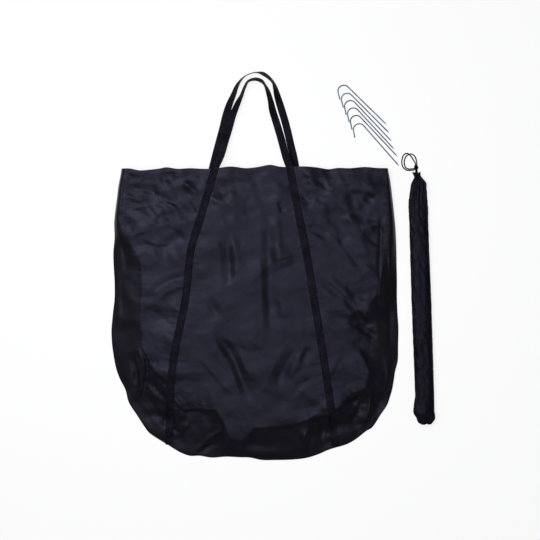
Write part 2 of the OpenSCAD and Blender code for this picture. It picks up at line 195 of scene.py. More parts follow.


# %% [markdown]
# ## The drawcord
#
# The cord leaves the gathered channel as two strands, and both are tied in one overhand knot.
# Beyond the knot they lie on the ground as a loose double loop that crosses itself once. The route
# is the solid model's, point by point. The cord is 3.6 mm thick pulled tight, and 4.2 mm lying
# loose, when its braid opens a little.

# %% Two strands of drawcord
CORD, CORD_LOOSE = 3.6, 4.2
STRANDS = {
    "drawcord_strand_a": [
        [476.3, 303.8, 11], [476.3, 307, 10.4], [476.2, 311, 8.4], [476, 315.5, 5.6],
        [475.9, 321.5, 4.6], [475.9, 328, 4], [475.7, 336, 2.6], [475, 342, 1.8], [473.4, 349, 1.8],
        [470.4, 357, 1.8], [465, 363.2, 1.8], [458, 367, 1.8], [450, 366, 1.8], [443, 362, 1.8],
        [438, 356, 1.8], [435, 348, 1.8], [434, 340, 1.8], [435, 332, 1.8], [437, 325, 1.8],
        [441, 320.4, 1.8], [448, 317.8, 1.8], [456, 317.6, 2.2], [467, 318.8, 4],
    ],
    "drawcord_strand_b": [
        [472.1, 303.8, 11], [472.1, 307, 10.4], [472.1, 311, 8.4], [472.1, 315.5, 5.6],
        [471.9, 321.5, 4.6], [471.7, 328, 4], [471, 334, 2.6], [469.4, 339, 1.8], [466.4, 344, 2],
        [462.6, 350, 3.2], [458.8, 356, 4.8], [454, 361.4, 6], [449, 366, 6.3], [442, 369, 5.4],
        [435, 366.4, 3.4], [430, 360, 1.8], [427, 351, 1.8], [426, 341, 1.8], [427, 332, 1.8],
        [430, 324, 1.8], [435, 317.8, 1.8], [441, 314.2, 1.8], [448, 313, 1.8], [456, 313, 2],
        [467, 314.2, 4],
    ],
}
STANDS_FOR = {
    "drawcord_strand_a": ("drawcord_loop_a", "drawcord_stem"),
    "drawcord_strand_b": ("drawcord_loop_b",),
}
KNOT_AT, KNOT_SIZE, KNOT_CORD = [472.9, 322, 4.9], [5.5, 7.4, 2.6], 4.6


def torus_knot(middle, size, count=160):
    """The trefoil: a point goes twice round while its distance and height go three times up and
    down. x = (2 + cos 3t) cos 2t, y = (2 + cos 3t) sin 2t, z = sin 3t, scaled to size."""
    t = np.linspace(0, 2 * np.pi, count, endpoint=False)
    reach = 2 + np.cos(3 * t)
    knot = np.stack([reach * np.cos(2 * t) / 3, reach * np.sin(2 * t) / 3, np.sin(3 * t)], -1)
    return np.asarray(middle) + knot * np.asarray(size)


turns = torus_knot(KNOT_AT, KNOT_SIZE)
cord_knot = tube("drawcord_knot_turns", turns, KNOT_CORD / 2, "pouch", sides=14)
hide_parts("drawcord_knot")
cord_pieces = [cord_knot]
for name, route in STRANDS.items():
    line = smooth(route, 5)
    line[:, 2] = np.maximum(line[:, 2], CORD_LOOSE / 2)
    strand = tube(name, line, CORD_LOOSE / 2, "pouch")
    for node in STANDS_FOR[name]:
        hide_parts(node)
    cord_pieces.append(strand)

# %% [markdown]
# ## Noise and creases for cloth
#
# Two kinds of shape make thin nylon look real. Soft unevenness is gradient noise. Crumpling is
# different: coated cloth can't stretch, so it breaks into flat facets that meet in creases. A
# zigzag wave has just that form, so a few zigzags in random directions, each shown only in
# patches, add up to crumpled cloth.

# %% Noise and zigzag creases
def noise(x, y, seed):
    """Gradient noise of period 1: each lattice corner has a random direction, and the value
    between four corners blends their slopes with 6t^5 - 15t^4 + 10t^3."""
    lattice = np.random.default_rng(seed).uniform(0, 2 * np.pi, (64, 64))
    ix, iy = np.floor(x).astype(int), np.floor(y).astype(int)
    fx, fy = x - ix, y - iy
    sx, sy = (t**3 * (t * (6 * t - 15) + 10) for t in (fx, fy))

    def corner(dx, dy):
        angle = lattice[(ix + dx) % 64, (iy + dy) % 64]
        return np.cos(angle) * (fx - dx) + np.sin(angle) * (fy - dy)

    low = corner(0, 0) * (1 - sx) + corner(1, 0) * sx
    high = corner(0, 1) * (1 - sx) + corner(1, 1) * sx
    return 1.6 * (low * (1 - sy) + high * sy)


def step(low, high, x):
    """0 below low, 1 above high, and 3t^2 - 2t^3 between."""
    t = np.clip((x - low) / (high - low), 0, 1)
    return t * t * (3 - 2 * t)


def crumple(x, y, seed, waves, shortest, longest, slope, patchy):
    """Sum of zigzag waves in random directions, in mm. Each rises slope mm in a mm on its sides,
    its creases are bent a little by slow noise, and the more patchy it is, the more a second noise
    hides it."""
    pick = np.random.default_rng(seed)
    total = np.zeros_like(x)
    for k in range(waves):
        wave = shortest * (longest / shortest) ** pick.uniform()
        angle, phase = pick.uniform(0, np.pi), pick.uniform()
        u = (x * np.cos(angle) + y * np.sin(angle)) / wave + phase
        u = u + 0.22 * noise(x / (2.4 * wave) + k, y / (2.4 * wave), seed + k)
        zigzag = np.sqrt((2 * np.abs(u - np.round(u))) ** 2 + (3.0 / wave) ** 2)
        shown = step(-0.5 + 0.5 * patchy, 0.1 + 0.35 * patchy,
                     noise(x / (1.2 * wave), y / (1.2 * wave) + 7 * k, seed + 50 + k))
        total += slope * wave / 2 * (zigzag - 0.5) * shown
    return total


def to_line(x, y, line):
    """For each point: its distance to a line of points, which side it is on (+1 left of the line's
    direction, -1 right), and how far along the line the nearest place is. On a stretch from a with
    direction d that place is a + t d, where t is (point - a) . d over d . d, kept from 0 to 1."""
    near = np.full(x.shape, np.inf)
    side, along = np.zeros_like(x), np.zeros_like(x)
    marks = lengths(line)
    for a, b, mark in zip(line[:-1], line[1:], marks):
        d = b - a
        size = np.hypot(*d)
        t = np.clip(((x - a[0]) * d[0] + (y - a[1]) * d[1]) / size**2, 0, 1)
        gap = np.hypot(x - a[0] - t * d[0], y - a[1] - t * d[1])
        turn = np.sign(d[0] * (y - a[1]) - d[1] * (x - a[0]))
        closer = gap < near
        near, side, along = (np.where(closer, new, old) for new, old in
                             ((gap, near), (turn, side), (mark + t * size, along)))
    return near, side, along


# %% [markdown]
# ## The bag's outline and seam
#
# The bag is two round-bottomed panels and a gusset strip between them. Laid flat and empty, the
# gusset folds outwards, so the outline is the gusset's fold, and the seam of the front panel runs
# some way inside it. Both lines are drawn from mouth to mouth round the bottom, in three parts
# that meet at the two bottom corners, so that stations on one can be joined to stations on the
# other.

# %% Outline, seam and mouth, in mm
OUTLINE = [
    [[-501, 318], [-504, 297], [-511, 261], [-516, 221], [-521, 182], [-525, 139], [-524, 89],
     [-528, 43], [-527, -3], [-524, -56], [-524, -109], [-529, -155], [-534, -208], [-534, -234],
     [-531, -274], [-521, -333], [-508, -373], [-488, -413], [-477, -454], [-451, -495]],
    [[-451, -495], [-425, -535], [-407, -557], [-374, -579], [-341, -599], [-308, -619],
     [-275, -631], [-242, -631], [-202, -637], [-155, -634], [-109, -636], [-76, -637], [-36, -645],
     [10, -645], [56, -644], [106, -639], [147, -627], [190, -609], [241, -594], [274, -576],
     [307, -550], [330, -535], [356, -495]],
    [[356, -495], [377, -464], [388, -433], [396, -403], [404, -353], [413, -314], [414, -264],
     [415, -208], [412, -162], [410, -109], [410, -50], [409, -3], [408, 56], [405, 122],
     [400, 175], [395, 221], [388, 277], [380, 319]],
]
SEAM = [
    [[-485, 316], [-490, 274], [-493, 221], [-492, 168], [-478, 109], [-459, 56], [-444, -3],
     [-441, -82], [-440, -155], [-437, -228], [-431, -294], [-409, -360], [-373, -419]],
    [[-373, -419], [-320, -469], [-261, -500], [-195, -521], [-109, -536], [-23, -541], [63, -536],
     [129, -520], [191, -492], [248, -447]],
    [[248, -447], [284, -393], [307, -333], [320, -267], [332, -201], [343, -129], [354, -56],
     [361, 16], [364, 89], [366, 165], [368, 248], [370, 317]],
]
MOUTH = [[-501, 318], [-472, 318], [-439, 312], [-406, 314], [-373, 318], [-350, 322], [-314, 317],
    [-274, 319], [-231, 317], [-195, 318], [-148, 324], [-122, 323], [-89, 319], [-50, 323],
    [-10, 330], [23, 324], [56, 323], [96, 325], [142, 322], [182, 316], [214, 320], [254, 319],
    [300, 323], [340, 320], [380, 319]]
COLUMNS, ROWS = 217, 215
outline = [even(smooth(part), n) for part, n in zip(OUTLINE, (ROWS, COLUMNS, ROWS))]
seam = [even(smooth(part), n) for part, n in zip(SEAM, (ROWS, COLUMNS, ROWS))]
mouth = smooth(MOUTH)
for line, end in ((seam[0], 0), (seam[2], -1), (outline[0], 0), (outline[2], -1)):
    line[end, 1] = np.interp(line[end, 0], mouth[:, 0], mouth[:, 1])
outline_line = np.vstack([outline[0], outline[1][1:], outline[2][1:]])
seam_line = np.vstack([seam[0], seam[1][1:], seam[2][1:]])
print(f"outline {lengths(outline_line)[-1]:.0f} mm round, seam {lengths(seam_line)[-1]:.0f} mm")


def table(rows, s):
    """Reads a table of [place, value] rows at s, in straight lines between the rows."""
    rows = np.array(rows, float)
    return np.interp(s, rows[:, 0], rows[:, 1])


# %% [markdown]
# ## Drawn folds
#
# Each fold is a short line with a width and a height: the cloth rises or sinks along it like a low
# tent, steeper on one side if the fold leans. The strong ones are placed one by one. Around them
# go zigzag crumples, stronger near the mouth's corners and in the lower flanks, and the small
# puckers that every sewn line draws up. Simulated cloth would fold by chance, and these folds have
# known places.

# %% Folds of the front, in mm
FOLDS = [
    # line, width, height, lean
    ([[-21, 201], [-15, 116], [-14, 10], [-11, -102], [-8, -214], [-7, -287]], 13, -5.2, 0.2),
    ([[7, 188], [10, 82], [12, -33]], 9, 2.2, 0.0),
    ([[-155, 119], [-150, 56], [-145, -10], [-139, -76]], 10, -4.4, -0.2),
    ([[-129, 109], [-122, 33], [-116, -63]], 8, 2.0, 0.0),
    ([[-196, -218], [-168, -254], [-139, -294], [-116, -340], [-96, -393],
        [-71, -462]], 15, -7.0, 0.4),
    ([[-168, -214], [-132, -261], [-99, -314], [-73, -386]], 9, 2.4, 0.0),
    ([[82, -267], [59, -300], [40, -337], [20, -376], [5, -412]], 11, -5.2, -0.3),
    ([[124, -267], [109, -294], [89, -330]], 8, -3.8, 0.3),
    ([[99, -287], [76, -333], [50, -380]], 8, 2.2, 0.0),
    ([[20, 214], [26, 191], [33, 168]], 6, -2.6, 0.3),
    ([[-411, -112], [-383, -79], [-346, -53], [-307, -40], [-264, -35]], 6, -2.4, 0.5),
    ([[-399, -135], [-360, -96], [-314, -73], [-274, -63]], 7, 1.6, 0.0),
    ([[150, -41], [191, -73], [238, -112], [280, -158], [320, -211]], 6, -2.6, -0.5),
    ([[175, -36], [228, -76], [277, -122]], 8, 1.8, 0.0),
    ([[244, -175], [277, -198], [317, -224]], 9, -4.0, 0.3),
    ([[264, -241], [294, -277], [337, -317]], 10, -4.2, 0.2),
    ([[241, 224], [274, 238], [314, 218], [353, 241]], 10, -3.2, 0.4),
    ([[244, 185], [274, 168], [307, 155], [346, 142]], 9, -2.2, -0.3),
    ([[254, 205], [294, 191], [333, 191], [366, 205]], 9, 1.8, 0.0),
    ([[307, 112], [327, 82], [363, 56]], 9, -2.4, 0.4),
    ([[366, 148], [363, 50], [356, -50], [346, -142]], 2, 1.6, 0.0),
    ([[198, 112], [238, 59], [290, -13]], 7, -2.0, 0.4),
    ([[-492, 234], [-459, 218], [-419, 201]], 6, 2.8, 0.4),
    ([[-478, 267], [-432, 248], [-380, 238]], 7, -2.0, 0.4),
    ([[-482, 280], [-459, 287], [-432, 284]], 8, -2.6, 0.0),
    ([[-380, 277], [-350, 290], [-314, 280]], 9, -3.0, 0.0),
    ([[-294, 248], [-267, 274], [-241, 307]], 11, 3.0, 0.0),
    ([[-201, 287], [-142, 297], [-69, 290]], 10, 2.2, 0.0),
    ([[99, 287], [142, 300], [195, 294]], 9, 2.6, 0.0),
    ([[358, 188], [357, 116], [353, 23], [348, -69]], 5, -3.6, 0.0),
    ([[327, 112], [343, 116], [363, 112]], 6, -3.4, 0.0),
    ([[-389, 228], [-353, 205], [-307, 182]], 6, 2.6, -0.4),
    ([[-409, 168], [-383, 145], [-360, 132]], 6, -2.4, 0.3),
    ([[-406, 142], [-380, 168], [-346, 188]], 7, 2.6, 0.0),
    ([[-442, 82], [-406, 63], [-366, 56], [-320, 69]], 8, -2.6, -0.4),
    ([[-485, 82], [-439, 109], [-393, 116]], 8, 2.0, 0.3),
    ([[-277, 221], [-257, 195], [-241, 168]], 6, -2.6, 0.4),
    ([[-294, 277], [-267, 248], [-241, 228]], 7, 3.0, 0.0),
    ([[99, 287], [142, 261], [191, 241]], 6, 2.0, 0.4),
    ([[109, 129], [142, 109], [182, 82]], 7, -1.8, 0.3),
    ([[-3, 10], [36, 26], [82, 33]], 6, 1.8, 0.5),
    ([[7, -20], [46, -10], [89, 10]], 6, -1.8, 0.5),
    ([[-224, -116], [-168, -175], [-122, -214]], 9, -2.2, 0.3),
    ([[-254, -297], [-195, -350], [-135, -432]], 9, 2.0, 0.4),
    ([[53, -439], [96, -393], [142, -360]], 9, -2.2, 0.3),
    ([[148, -399], [188, -353], [221, -287]], 9, 2.0, 0.3),
    ([[-462, -267], [-442, -287], [-427, -327], [-429, -380], [-442, -426],
        [-467, -459]], 6, 9.0, -0.4),
    ([[-472, -287], [-455, -320], [-450, -373], [-464, -426]], 8, -7.5, 0.0),
    ([[-517, 10], [-515, -63], [-513, -142], [-515, -221]], 4, 6.2, 0.6),
    ([[-502, 89], [-488, 30], [-482, -36]], 9, -4.6, 0.3),
    ([[-406, -386], [-380, -419], [-346, -446]], 8, -6.2, 0.4),
    ([[-327, -488], [-287, -482], [-231, -487], [-178, -502]], 12, -5.0, 0.0),
    ([[-274, -640], [-244, -607], [-208, -574], [-165, -544]], 4, 9.5, 0.6),
    ([[-254, -637], [-221, -607], [-178, -581]], 5, -8.5, 0.0),
    ([[-333, -578], [-304, -551], [-274, -515]], 7, 5.1, 0.4),
    ([[-373, -538], [-346, -505], [-333, -459]], 7, -5.9, 0.3),
    ([[-168, -604], [-109, -617], [-36, -627], [56, -620]], 6, 3.2, 0.3),
    ([[-135, -581], [-56, -597], [36, -594]], 9, -3.2, 0.2),
    ([[109, -630], [102, -587], [116, -544]], 7, 6.5, 0.3),
    ([[172, -601], [182, -558], [198, -512]], 6, 7.0, 0.3),
    ([[318, -409], [320, -446], [312, -492], [280, -554]], 5, 9.5, 0.4),
    ([[294, -429], [287, -478], [254, -525]], 8, -8.5, 0.0),
    ([[224, -472], [261, -452], [294, -419]], 6, -5.1, 0.3),
    ([[350, -419], [356, -459], [337, -505]], 6, -4.9, 0.4),
    ([[366, -300], [380, -353], [376, -406]], 6, 4.3, 0.4),
    ([[381, -109], [388, -201], [383, -287]], 6, -4.3, 0.4),
    ([[373, 109], [384, 30], [386, -50]], 5, 4.1, 0.5),
    ([[162, -498], [168, -558], [178, -630]], 19, -13.0, 0.2),
    ([[307, -406], [277, -446], [241, -488]], 6, -5.0, 0.0),
    ([[244, -432], [267, -459], [280, -488]], 10, -6.0, 0.0),
    ([[135, -525], [125, -564], [112, -604]], 7, -5.0, 0.0),
    ([[261, -155], [294, -182], [333, -201]], 8, -6.0, 0.2),
    ([[274, -188], [307, -218], [346, -241]], 7, -6.0, 0.0),
]
PATCHES = [
    # place, radius, how much stronger the crumpling is there
    ([-380, 214], 150, 0.6), ([300, 195], 120, 0.7), ([148, 248], 90, 0.7),
    ([307, -116], 110, 0.5), ([-406, -452], 120, 0.9), ([221, -538], 120, 0.8),
    ([-122, 280], 110, 0.4), ([-478, -116], 90, 0.6), ([-294, -551], 90, 1.0),
    ([333, -485], 80, 1.0), ([162, -597], 70, 1.0), ([-465, -406], 70, 0.8),
]
PANEL_Z, FOLD_Z = 34.4, 4.4         # height of the level panel and of the gusset's fold
LOWEST, HIGHEST = 2.2, 44.5         # the front cloth is kept between these
FALLS = [
    # distance along the seam, power of the fall
    [0, 7], [150, 7], [230, 2.2], [330, 1.1], [700, 1.0], [780, 0.72], [960, 0.72], [1040, 1.0],
    [1330, 1.0], [1400, 0.75], [1560, 0.75], [1660, 1.1], [1750, 1.1], [1900, 1.5], [1980, 4],
    [2050, 7], [2230, 7],
]
REACHES = [
    # distance along the seam, share of the way at which the cloth is down
    [650, 1.0], [780, 0.78], [960, 0.78], [1050, 1.0], [1350, 1.0], [1420, 0.78], [1540, 0.78],
    [1640, 1.0],
]
SHOULDERS = [
    # distance along the seam, how far inside it the cloth begins to fall (outside if negative)
    [600, 6], [690, 24], [740, 38], [800, 20], [860, 8], [900, 30], [965, 44], [998, 16],
    [1022, -38], [1068, -46], [1102, 2], [1150, 10], [1280, 14], [1310, 20], [1350, 8], [1437, 4],
    [1501, -24], [1550, -18], [1600, 26], [1660, 48], [1720, 38], [1790, 14], [1850, 6],
]
WEB = 25.0                          # width of the webbing
HEM, HEM_STITCH = 20.5, 18.5        # how far below the mouth the hem and its stitches are
ROOT_Y, ROOT_REACH = 312, 34        # where a handle is sewn on, and how far that keeps cloth flat
RUNS = {
    "left": [[-188.7, 326], [-191, 320], [-236, 166], [-271, 46], [-289, -112], [-333, -353],
        [-345, -645]],
    "right": [[54.3, 326], [56, 320], [85, 166], [109, 46], [135, -112], [180, -393], [212, -645]],
}
runs = {side: smooth(points, 8) for side, points in RUNS.items()}


def folds(x, y):
    """Sum of the drawn folds. Each is a tent, height times (1 - gap / width) to the power 1.2,
    where the gap to the line is rounded off at the crease, the width grows on the side that the
    fold leans to, and both ends fade."""
    total = np.zeros_like(x)
    for line, width, height, lean in FOLDS:
        path = smooth(line, 3)
        gap, side, along = to_line(x, y, path)
        size = lengths(path)[-1]
        wide = 2.1 * width * (1 + lean * side)
        edge = 1.2 + 0.3 * width
        fade = step(0, 0.3 * size, along) * step(0, 0.3 * size, size - along)
        tent = np.clip(1 - (np.sqrt(gap**2 + edge**2) - edge) / wide, 0, 1) ** 1.2
        total += height * fade * tent
    return total


def relief(x, y):
    """Height of the front cloth over its plain form: folds, crumples, and puckers at seam, webbing
    and hem, each of which dies away with distance from its line of stitches. Where a handle is
    sewn on, its crossed box keeps the cloth flat."""
    strength = 0.42 + sum(
        more * np.exp(-((x - place[0]) ** 2 + (y - place[1]) ** 2) / radius**2)
        for place, radius, more in PATCHES
    )
    z = folds(x, y) + strength * crumple(x, y, 11, 8, 60, 170, 0.085, 0.7)
    z += np.maximum(strength - 0.7, 0) * crumple(x, y, 40, 4, 28, 60, 0.045, 0.6)
    z += (0.5 + 0.4 * strength) * crumple(x, y, 70, 5, 120, 260, 0.04, 0.3)
    z += 1.6 * noise(x / 210, y / 230, 3) + 0.7 * noise(x / 74, y / 90, 4)
    z += 0.14 * (0.5 + strength) * noise(x / 16, y / 6.5, 5)
    gap, _, along = to_line(x, y, seam_line[::4])
    z += -0.3 * np.exp(-(gap / 3.0) ** 2) * (0.6 + noise(along / 60, gap / 60, 13))
    z += 1.1 * np.exp(-gap / 14) * noise(along / 13, gap / 60, 6)
    for seed, run in enumerate(runs.values()):
        gap, _, along = to_line(x, y, run)
        out = np.maximum(gap - WEB / 2, 0)
        pucker = noise(along / 12, out / 50, 7 + seed)
        z += (0.1 + 0.9 * step(0, 5, out)) * 1.1 * np.exp(-out / 17) * pucker
    below = np.interp(x, mouth[:, 0], mouth[:, 1]) - y
    z += 0.5 * np.exp(-((below - 12) / 9) ** 2) * noise(x / 11, below / 60, 9)
    z += 0.5 * np.exp(-below / 50) * noise(x / 48, y / 6.5, 17)
    z += 0.6 * step(HEM, HEM - 1.5, below) - 0.9 * np.exp(-((below - HEM_STITCH) / 1.3) ** 2)
    z += 1.6 * np.exp(-below / 26) * noise(x / 85, below / 300, 10)
    for run in RUNS.values():
        z *= 1 - 0.9 * np.exp(-((x - run[1][0]) ** 2 + (y - ROOT_Y) ** 2) / ROOT_REACH**2)
    return z


def front(x, y):
    """Height of the front cloth. It falls from the panel's level to the fold by a power of v,
    where v is 0 at a shoulder near the seam and 1 at the fold. A short reach takes most of the
    fall beside the shoulder, and a high power stays level and drops near the fold. The relief
    fades out at the fold."""
    gap, side, along = to_line(x, y, seam_line[::3])
    out, _, _ = to_line(x, y, outline_line[::3])
    shoulder = table(SHOULDERS, along) + 5 * noise(x / 80, y / 80, 15)
    v = np.clip((shoulder - side * gap) / (shoulder + out - side * gap), 0, 1)
    v = np.where(out > 0, v, 1)
    fall = (0.6 * np.minimum(v / table(REACHES, along), 1) + 0.4 * v) ** table(FALLS, along)
    z = PANEL_Z - (PANEL_Z - FOLD_Z) * fall + relief(x, y) * (1 - v**3)
    return np.clip(z, LOWEST, HIGHEST)


def over(height, plan):
    """A height function of x and y, read at every point of a grid."""
    return height(plan[..., 0].ravel(), plan[..., 1].ravel()).reshape(plan.shape[:2])


def patch(left, bottom, right, top):
    """Coons patch: the grid blends the left and right edges across, adds the same for bottom and
    top, and takes the blend of the four corners away once. Rows run from bottom to top."""
    s = np.linspace(0, 1, len(bottom))[None, :, None]
    t = np.linspace(0, 1, len(left))[:, None, None]
    left_corners = (1 - t) * bottom[0] + t * top[0]
    right_corners = (1 - t) * bottom[-1] + t * top[-1]
    corners = (1 - s) * left_corners + s * right_corners
    upward = (1 - t) * bottom[None] + t * top[None]
    return upward + (1 - s) * left[:, None] + s * right[:, None] - corners


within = (mouth[:, 0] >= seam[0][0, 0]) & (mouth[:, 0] <= seam[2][-1, 0])
top_edge = even(mouth[within], COLUMNS)
top_edge[0], top_edge[-1] = seam[0][0], seam[2][-1]
panel_plan = patch(seam[0][::-1], seam[1], seam[2], top_edge)
front_z = over(front, panel_plan)
print(f"front cloth from {front_z.min():.1f} to {front_z.max():.1f} mm high")

# %% [markdown]
# ## Front panel, gusset and back panel
#
# Three sheets make the bag. The front panel is the Coons patch inside the seam. The gusset starts
# on the seam's own points, falls to the fold, turns under on a small radius and runs back to the
# lower seam. The back panel lies on the ground. Each gets half a millimetre of thickness on its
# inner side.

# %% The three sheets of the bag
CLOTH, FOLD_RADIUS = 0.5, 1.3


def thicken(piece, thickness, offset=-1.0):
    """Thickness in mm, on the inner side with offset -1 and on both sides with 0."""
    solid = piece.modifiers.new("thickness", "SOLIDIFY")
    solid.thickness = thickness * MM
    solid.offset = offset
    return piece


def crosses_hinge(piece):
    """Bakes the piece's transform into its mesh, and attaches it to no body."""
    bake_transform(piece)


front_panel = surface("front_panel_cloth", np.dstack([panel_plan, front_z]), None)
thicken(front_panel, CLOTH)
crosses_hinge(front_panel)
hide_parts("bag_front_panel")


def gusset_sheet():
    """Rows go round the bag, columns across the strip: down the flank, round the fold on a half
    circle of radius r, and back to the lower seam. The flank's height is that of the front cloth
    there."""
    r = FOLD_RADIUS
    inward = unit(seam_line - outline_line)[:, None]
    width = np.linalg.norm(seam_line - outline_line, axis=1)[:, None]
    v = np.linspace(0, 1, 26) ** 0.9
    across = width - v[None] * (width - r)
    flank = outline_line[:, None] + inward * across[..., None]
    z = over(front, flank)
    z[:, -1] = FOLD_Z - 0.4
    a = np.linspace(np.pi / 2, -np.pi / 2, 7)[1:]
    turn = outline_line[:, None] + inward * (r - r * np.cos(a))[None, :, None]
    turn_z = np.broadcast_to(FOLD_Z - 0.4 - r + r * np.sin(a), turn.shape[:2])
    back = np.linspace(0, 1, 14)[1:]
    under = outline_line[:, None] + inward * (r + back[None] * (width - r))[..., None]
    waves = noise(under[..., 0] / 60, under[..., 1] / 60, 21)
    under_z = np.maximum(1.3 + 0.5 * (1 - back)[None] + 0.4 * waves, 0.3)
    plan = np.concatenate([flank, turn, under], axis=1)
    return np.dstack([plan, np.concatenate([z, turn_z, under_z], axis=1)])


gusset = surface("gusset_cloth", gusset_sheet(), None)
thicken(gusset, CLOTH)
crosses_hinge(gusset)
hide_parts("bag_gusset")

coarse = panel_plan[::2, ::2]
back_z = 1.5 + 0.5 * noise(coarse[..., 0] / 90, coarse[..., 1] / 90, 22)
back_panel = surface("back_panel_cloth", np.dstack([coarse, back_z]), "bag", flip=True)
thicken(back_panel, CLOTH)
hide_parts("bag_back_panel")
for piece in (front_panel, gusset, back_panel):
    print(piece.name, len(piece.data.polygons), "faces")

# %% [markdown]
# ## Webbing
#
# The handles are two long straps of 25 mm polypropylene webbing. Each is sewn up the panel, leaves
# the mouth as a free loop, and comes down the other side. A strap is a flat profile with rounded
# edges, carried along a path. Where it is sewn down, every point of it takes the height of the
# cloth under it.

# %% Straps
WEB_THICK = 1.6
MOUTH_Y, ABOVE_MOUTH = 319.4, 326   # where the back and the front webbing leave the bag
BACK_RUNS = {
    "left": [[-200, 320], [-240, 166], [-270, 46], [-289, -112], [-333, -353], [-345, -645]],
    "right": [[75.5, 320], [92, 166], [109, 46], [135, -112], [180, -393], [212, -645]],
}


def profile(across=11):
    """Closed profile of a strap, as (share across, share up): the top from edge to edge, then the
    underside back, each lowered at the edges by a fourth power, which rounds them."""
    s = np.linspace(-1, 1, across)
    high = 1 - 0.45 * s**8
    top = np.stack([s, high], -1)
    return np.vstack([top, np.stack([s[::-1], -high[::-1]], -1)])


def lay_strap(name, line, height, body):
    """Strap along a level line, lying on the height function, read at every point across it."""
    ahead = unit(np.gradient(line, axis=0))
    side = np.stack([ahead[:, 1], -ahead[:, 0]], -1)
    shape = profile()
    plan = line[:, None] + side[:, None] * (shape[None, :, :1] * WEB / 2)
    z = over(height, plan) + WEB_THICK / 2 * (1 + shape[None, :, 1])
    across = np.concatenate([shape[:, 0], [shape[0, 0]]]) * WEB / 2
    piece = surface(name, np.dstack([plan, z]), body, uv=(lengths(line), across),
                    wrap=True, flip=True, caps=True)
    return piece


def cut(line, low, high):
    """The stretch of a line whose Y lies between low and high, at one point each 3 mm."""
    kept = line[(line[:, 1] >= low) & (line[:, 1] <= high)]
    return even(kept, max(4, int(lengths(kept)[-1] / 3)))


def lowest_inside(line, edge):
    """Lowest Y of the part of a run that lies inside a closed edge."""
    _, side, _ = to_line(line[:, 0], line[:, 1], edge[::3])
    return line[side > 0][:, 1].min()


def sunk(x, y):
    """Height of the front cloth under a strap, which its stitches pull 0.1 mm into the cloth."""
    return front(x, y) - 0.1


straps = []
for side, run in runs.items():
    fine, fine_back = even(run, 600), even(smooth(BACK_RUNS[side], 8), 600)
    bottom, seam_at = lowest_inside(fine, outline_line), lowest_inside(fine, seam_line)
    web = lay_strap(f"front_webbing_{side}", cut(fine, seam_at - 4, ABOVE_MOUTH), sunk, None)
    around = lay_strap(f"base_webbing_{side}", cut(fine, bottom + 5, seam_at - 1), sunk, None)
    under = lay_strap(f"back_webbing_{side}", cut(fine_back, bottom + 2, MOUTH_Y),
                      lambda x, y: np.zeros_like(x), "bag")
    for piece, node in ((web, "front_web_"), (around, "base_web_"), (under, "back_web_")):
        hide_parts(node + side)
        straps.append(piece)
    crosses_hinge(web)
    crosses_hinge(around)
print("sewn straps:", [piece.name for piece in straps])

# %% [markdown]
# ## Handle loops
#
# Beyond the mouth a strap is free. Webbing bends easily over its flat side but hardly at all in
# its own plane, so where the loop turns it tips on its edge. Each row gives a place, how far the
# strap is tipped there, and how far it is off the ground. The inner edge of the loop is the upper
# one.

# %% Two free loops
FRONT_LOOP = [
    [-191, 320, 0, 35.2], [-171.8, 362, 4, 31], [-159.6, 404, 8, 22], [-145.6, 450, 16, 12],
    [-134, 490, 24, 12], [-124.8, 514, 33, 10.5], [-115.5, 536, 43, 6], [-104, 560, 60, 0],
    [-94.2, 586, 67, 0], [-82, 607, 69, 0], [-60, 614, 61, 0], [-40, 609, 59, 0], [-27, 595, 69, 0],
    [-17, 574, 55, 0], [-7.8, 542, 41, 0], [-1, 510, 20, 0], [12, 468, 8, 0.5], [25.6, 422, 4, 4],
    [35.6, 384, 2, 13], [44.2, 352, 1, 25], [56, 320, 0, 35.2],
]
BACK_LOOP = [
    [-200, 320, 0, 0], [-190, 360, 0, 0], [-179.5, 400, 2, 0], [-166, 450, 5, 0],
    [-156.4, 490, 8, 0], [-144.4, 530, 28, 0], [-131.5, 560, 43, 0], [-119.8, 590, 58, 0],
    [-106.3, 611, 72, 0], [-89, 626, 80, 0], [-69, 634, 81, 0], [-50, 636, 75, 0],
    [-33, 632, 58, 0], [-16, 621, 60, 0], [0.5, 603, 66, 0], [8.1, 583, 51, 0], [14.7, 558, 30, 0],
    [26.2, 520, 8, 0], [38.9, 478, 4, 0], [49.3, 438, 2, 0], [57.9, 400, 0, 0], [67.8, 360, 0, 0],
    [75.5, 320, 0, 0],
]


def loop_strap(name, rows, node):
    """Strap tipped on its edge: its width points along w = cos(tip) * side + sin(tip) * up, its
    thickness along n = cos(tip) * up - sin(tip) * side, and its middle is high enough to clear the
    ground by its lift."""
    path = smooth(rows, 10)
    tip = np.radians(np.clip(path[:, 2], 0, 90))[:, None]
    ahead = unit(np.gradient(path[:, :2], axis=0))
    side = np.column_stack([ahead[:, 1], -ahead[:, 0], np.zeros(len(path))])
    side[0] = side[-1] = (1, 0, 0)
    up = np.array([0, 0, 1.0])
    w = np.cos(tip) * side + np.sin(tip) * up
    n = np.cos(tip) * up - np.sin(tip) * side
    high = WEB / 2 * np.sin(tip) + WEB_THICK / 2 * np.cos(tip) + np.maximum(path[:, 3:4], 0)
    middle = np.column_stack([path[:, :2], high])
    shape = profile()
    points = (middle[:, None] + w[:, None] * (shape[None, :, :1] * WEB / 2)
              + n[:, None] * (shape[None, :, 1:] * WEB_THICK / 2))
    across = np.concatenate([shape[:, 0], [shape[0, 0]]]) * WEB / 2
    piece = surface(name, points, node, uv=(lengths(middle), across),
                    wrap=True, flip=True, caps=True)
    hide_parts(node)
    print(f"{name} is {lengths(middle)[-1]:.0f} mm long")
    return piece


# Both ends of the front loop start at the height of the cloth there, a little sunk into it.
for end in (0, -1):
    x_end = np.array([FRONT_LOOP[end][0]], float)
    FRONT_LOOP[end][3] = float(front(x_end, np.array([318.0]))[0]) - 0.3
straps += [loop_strap("front_loop", FRONT_LOOP, "front_handle")]
straps += [loop_strap("back_loop", BACK_LOOP, "back_handle")]

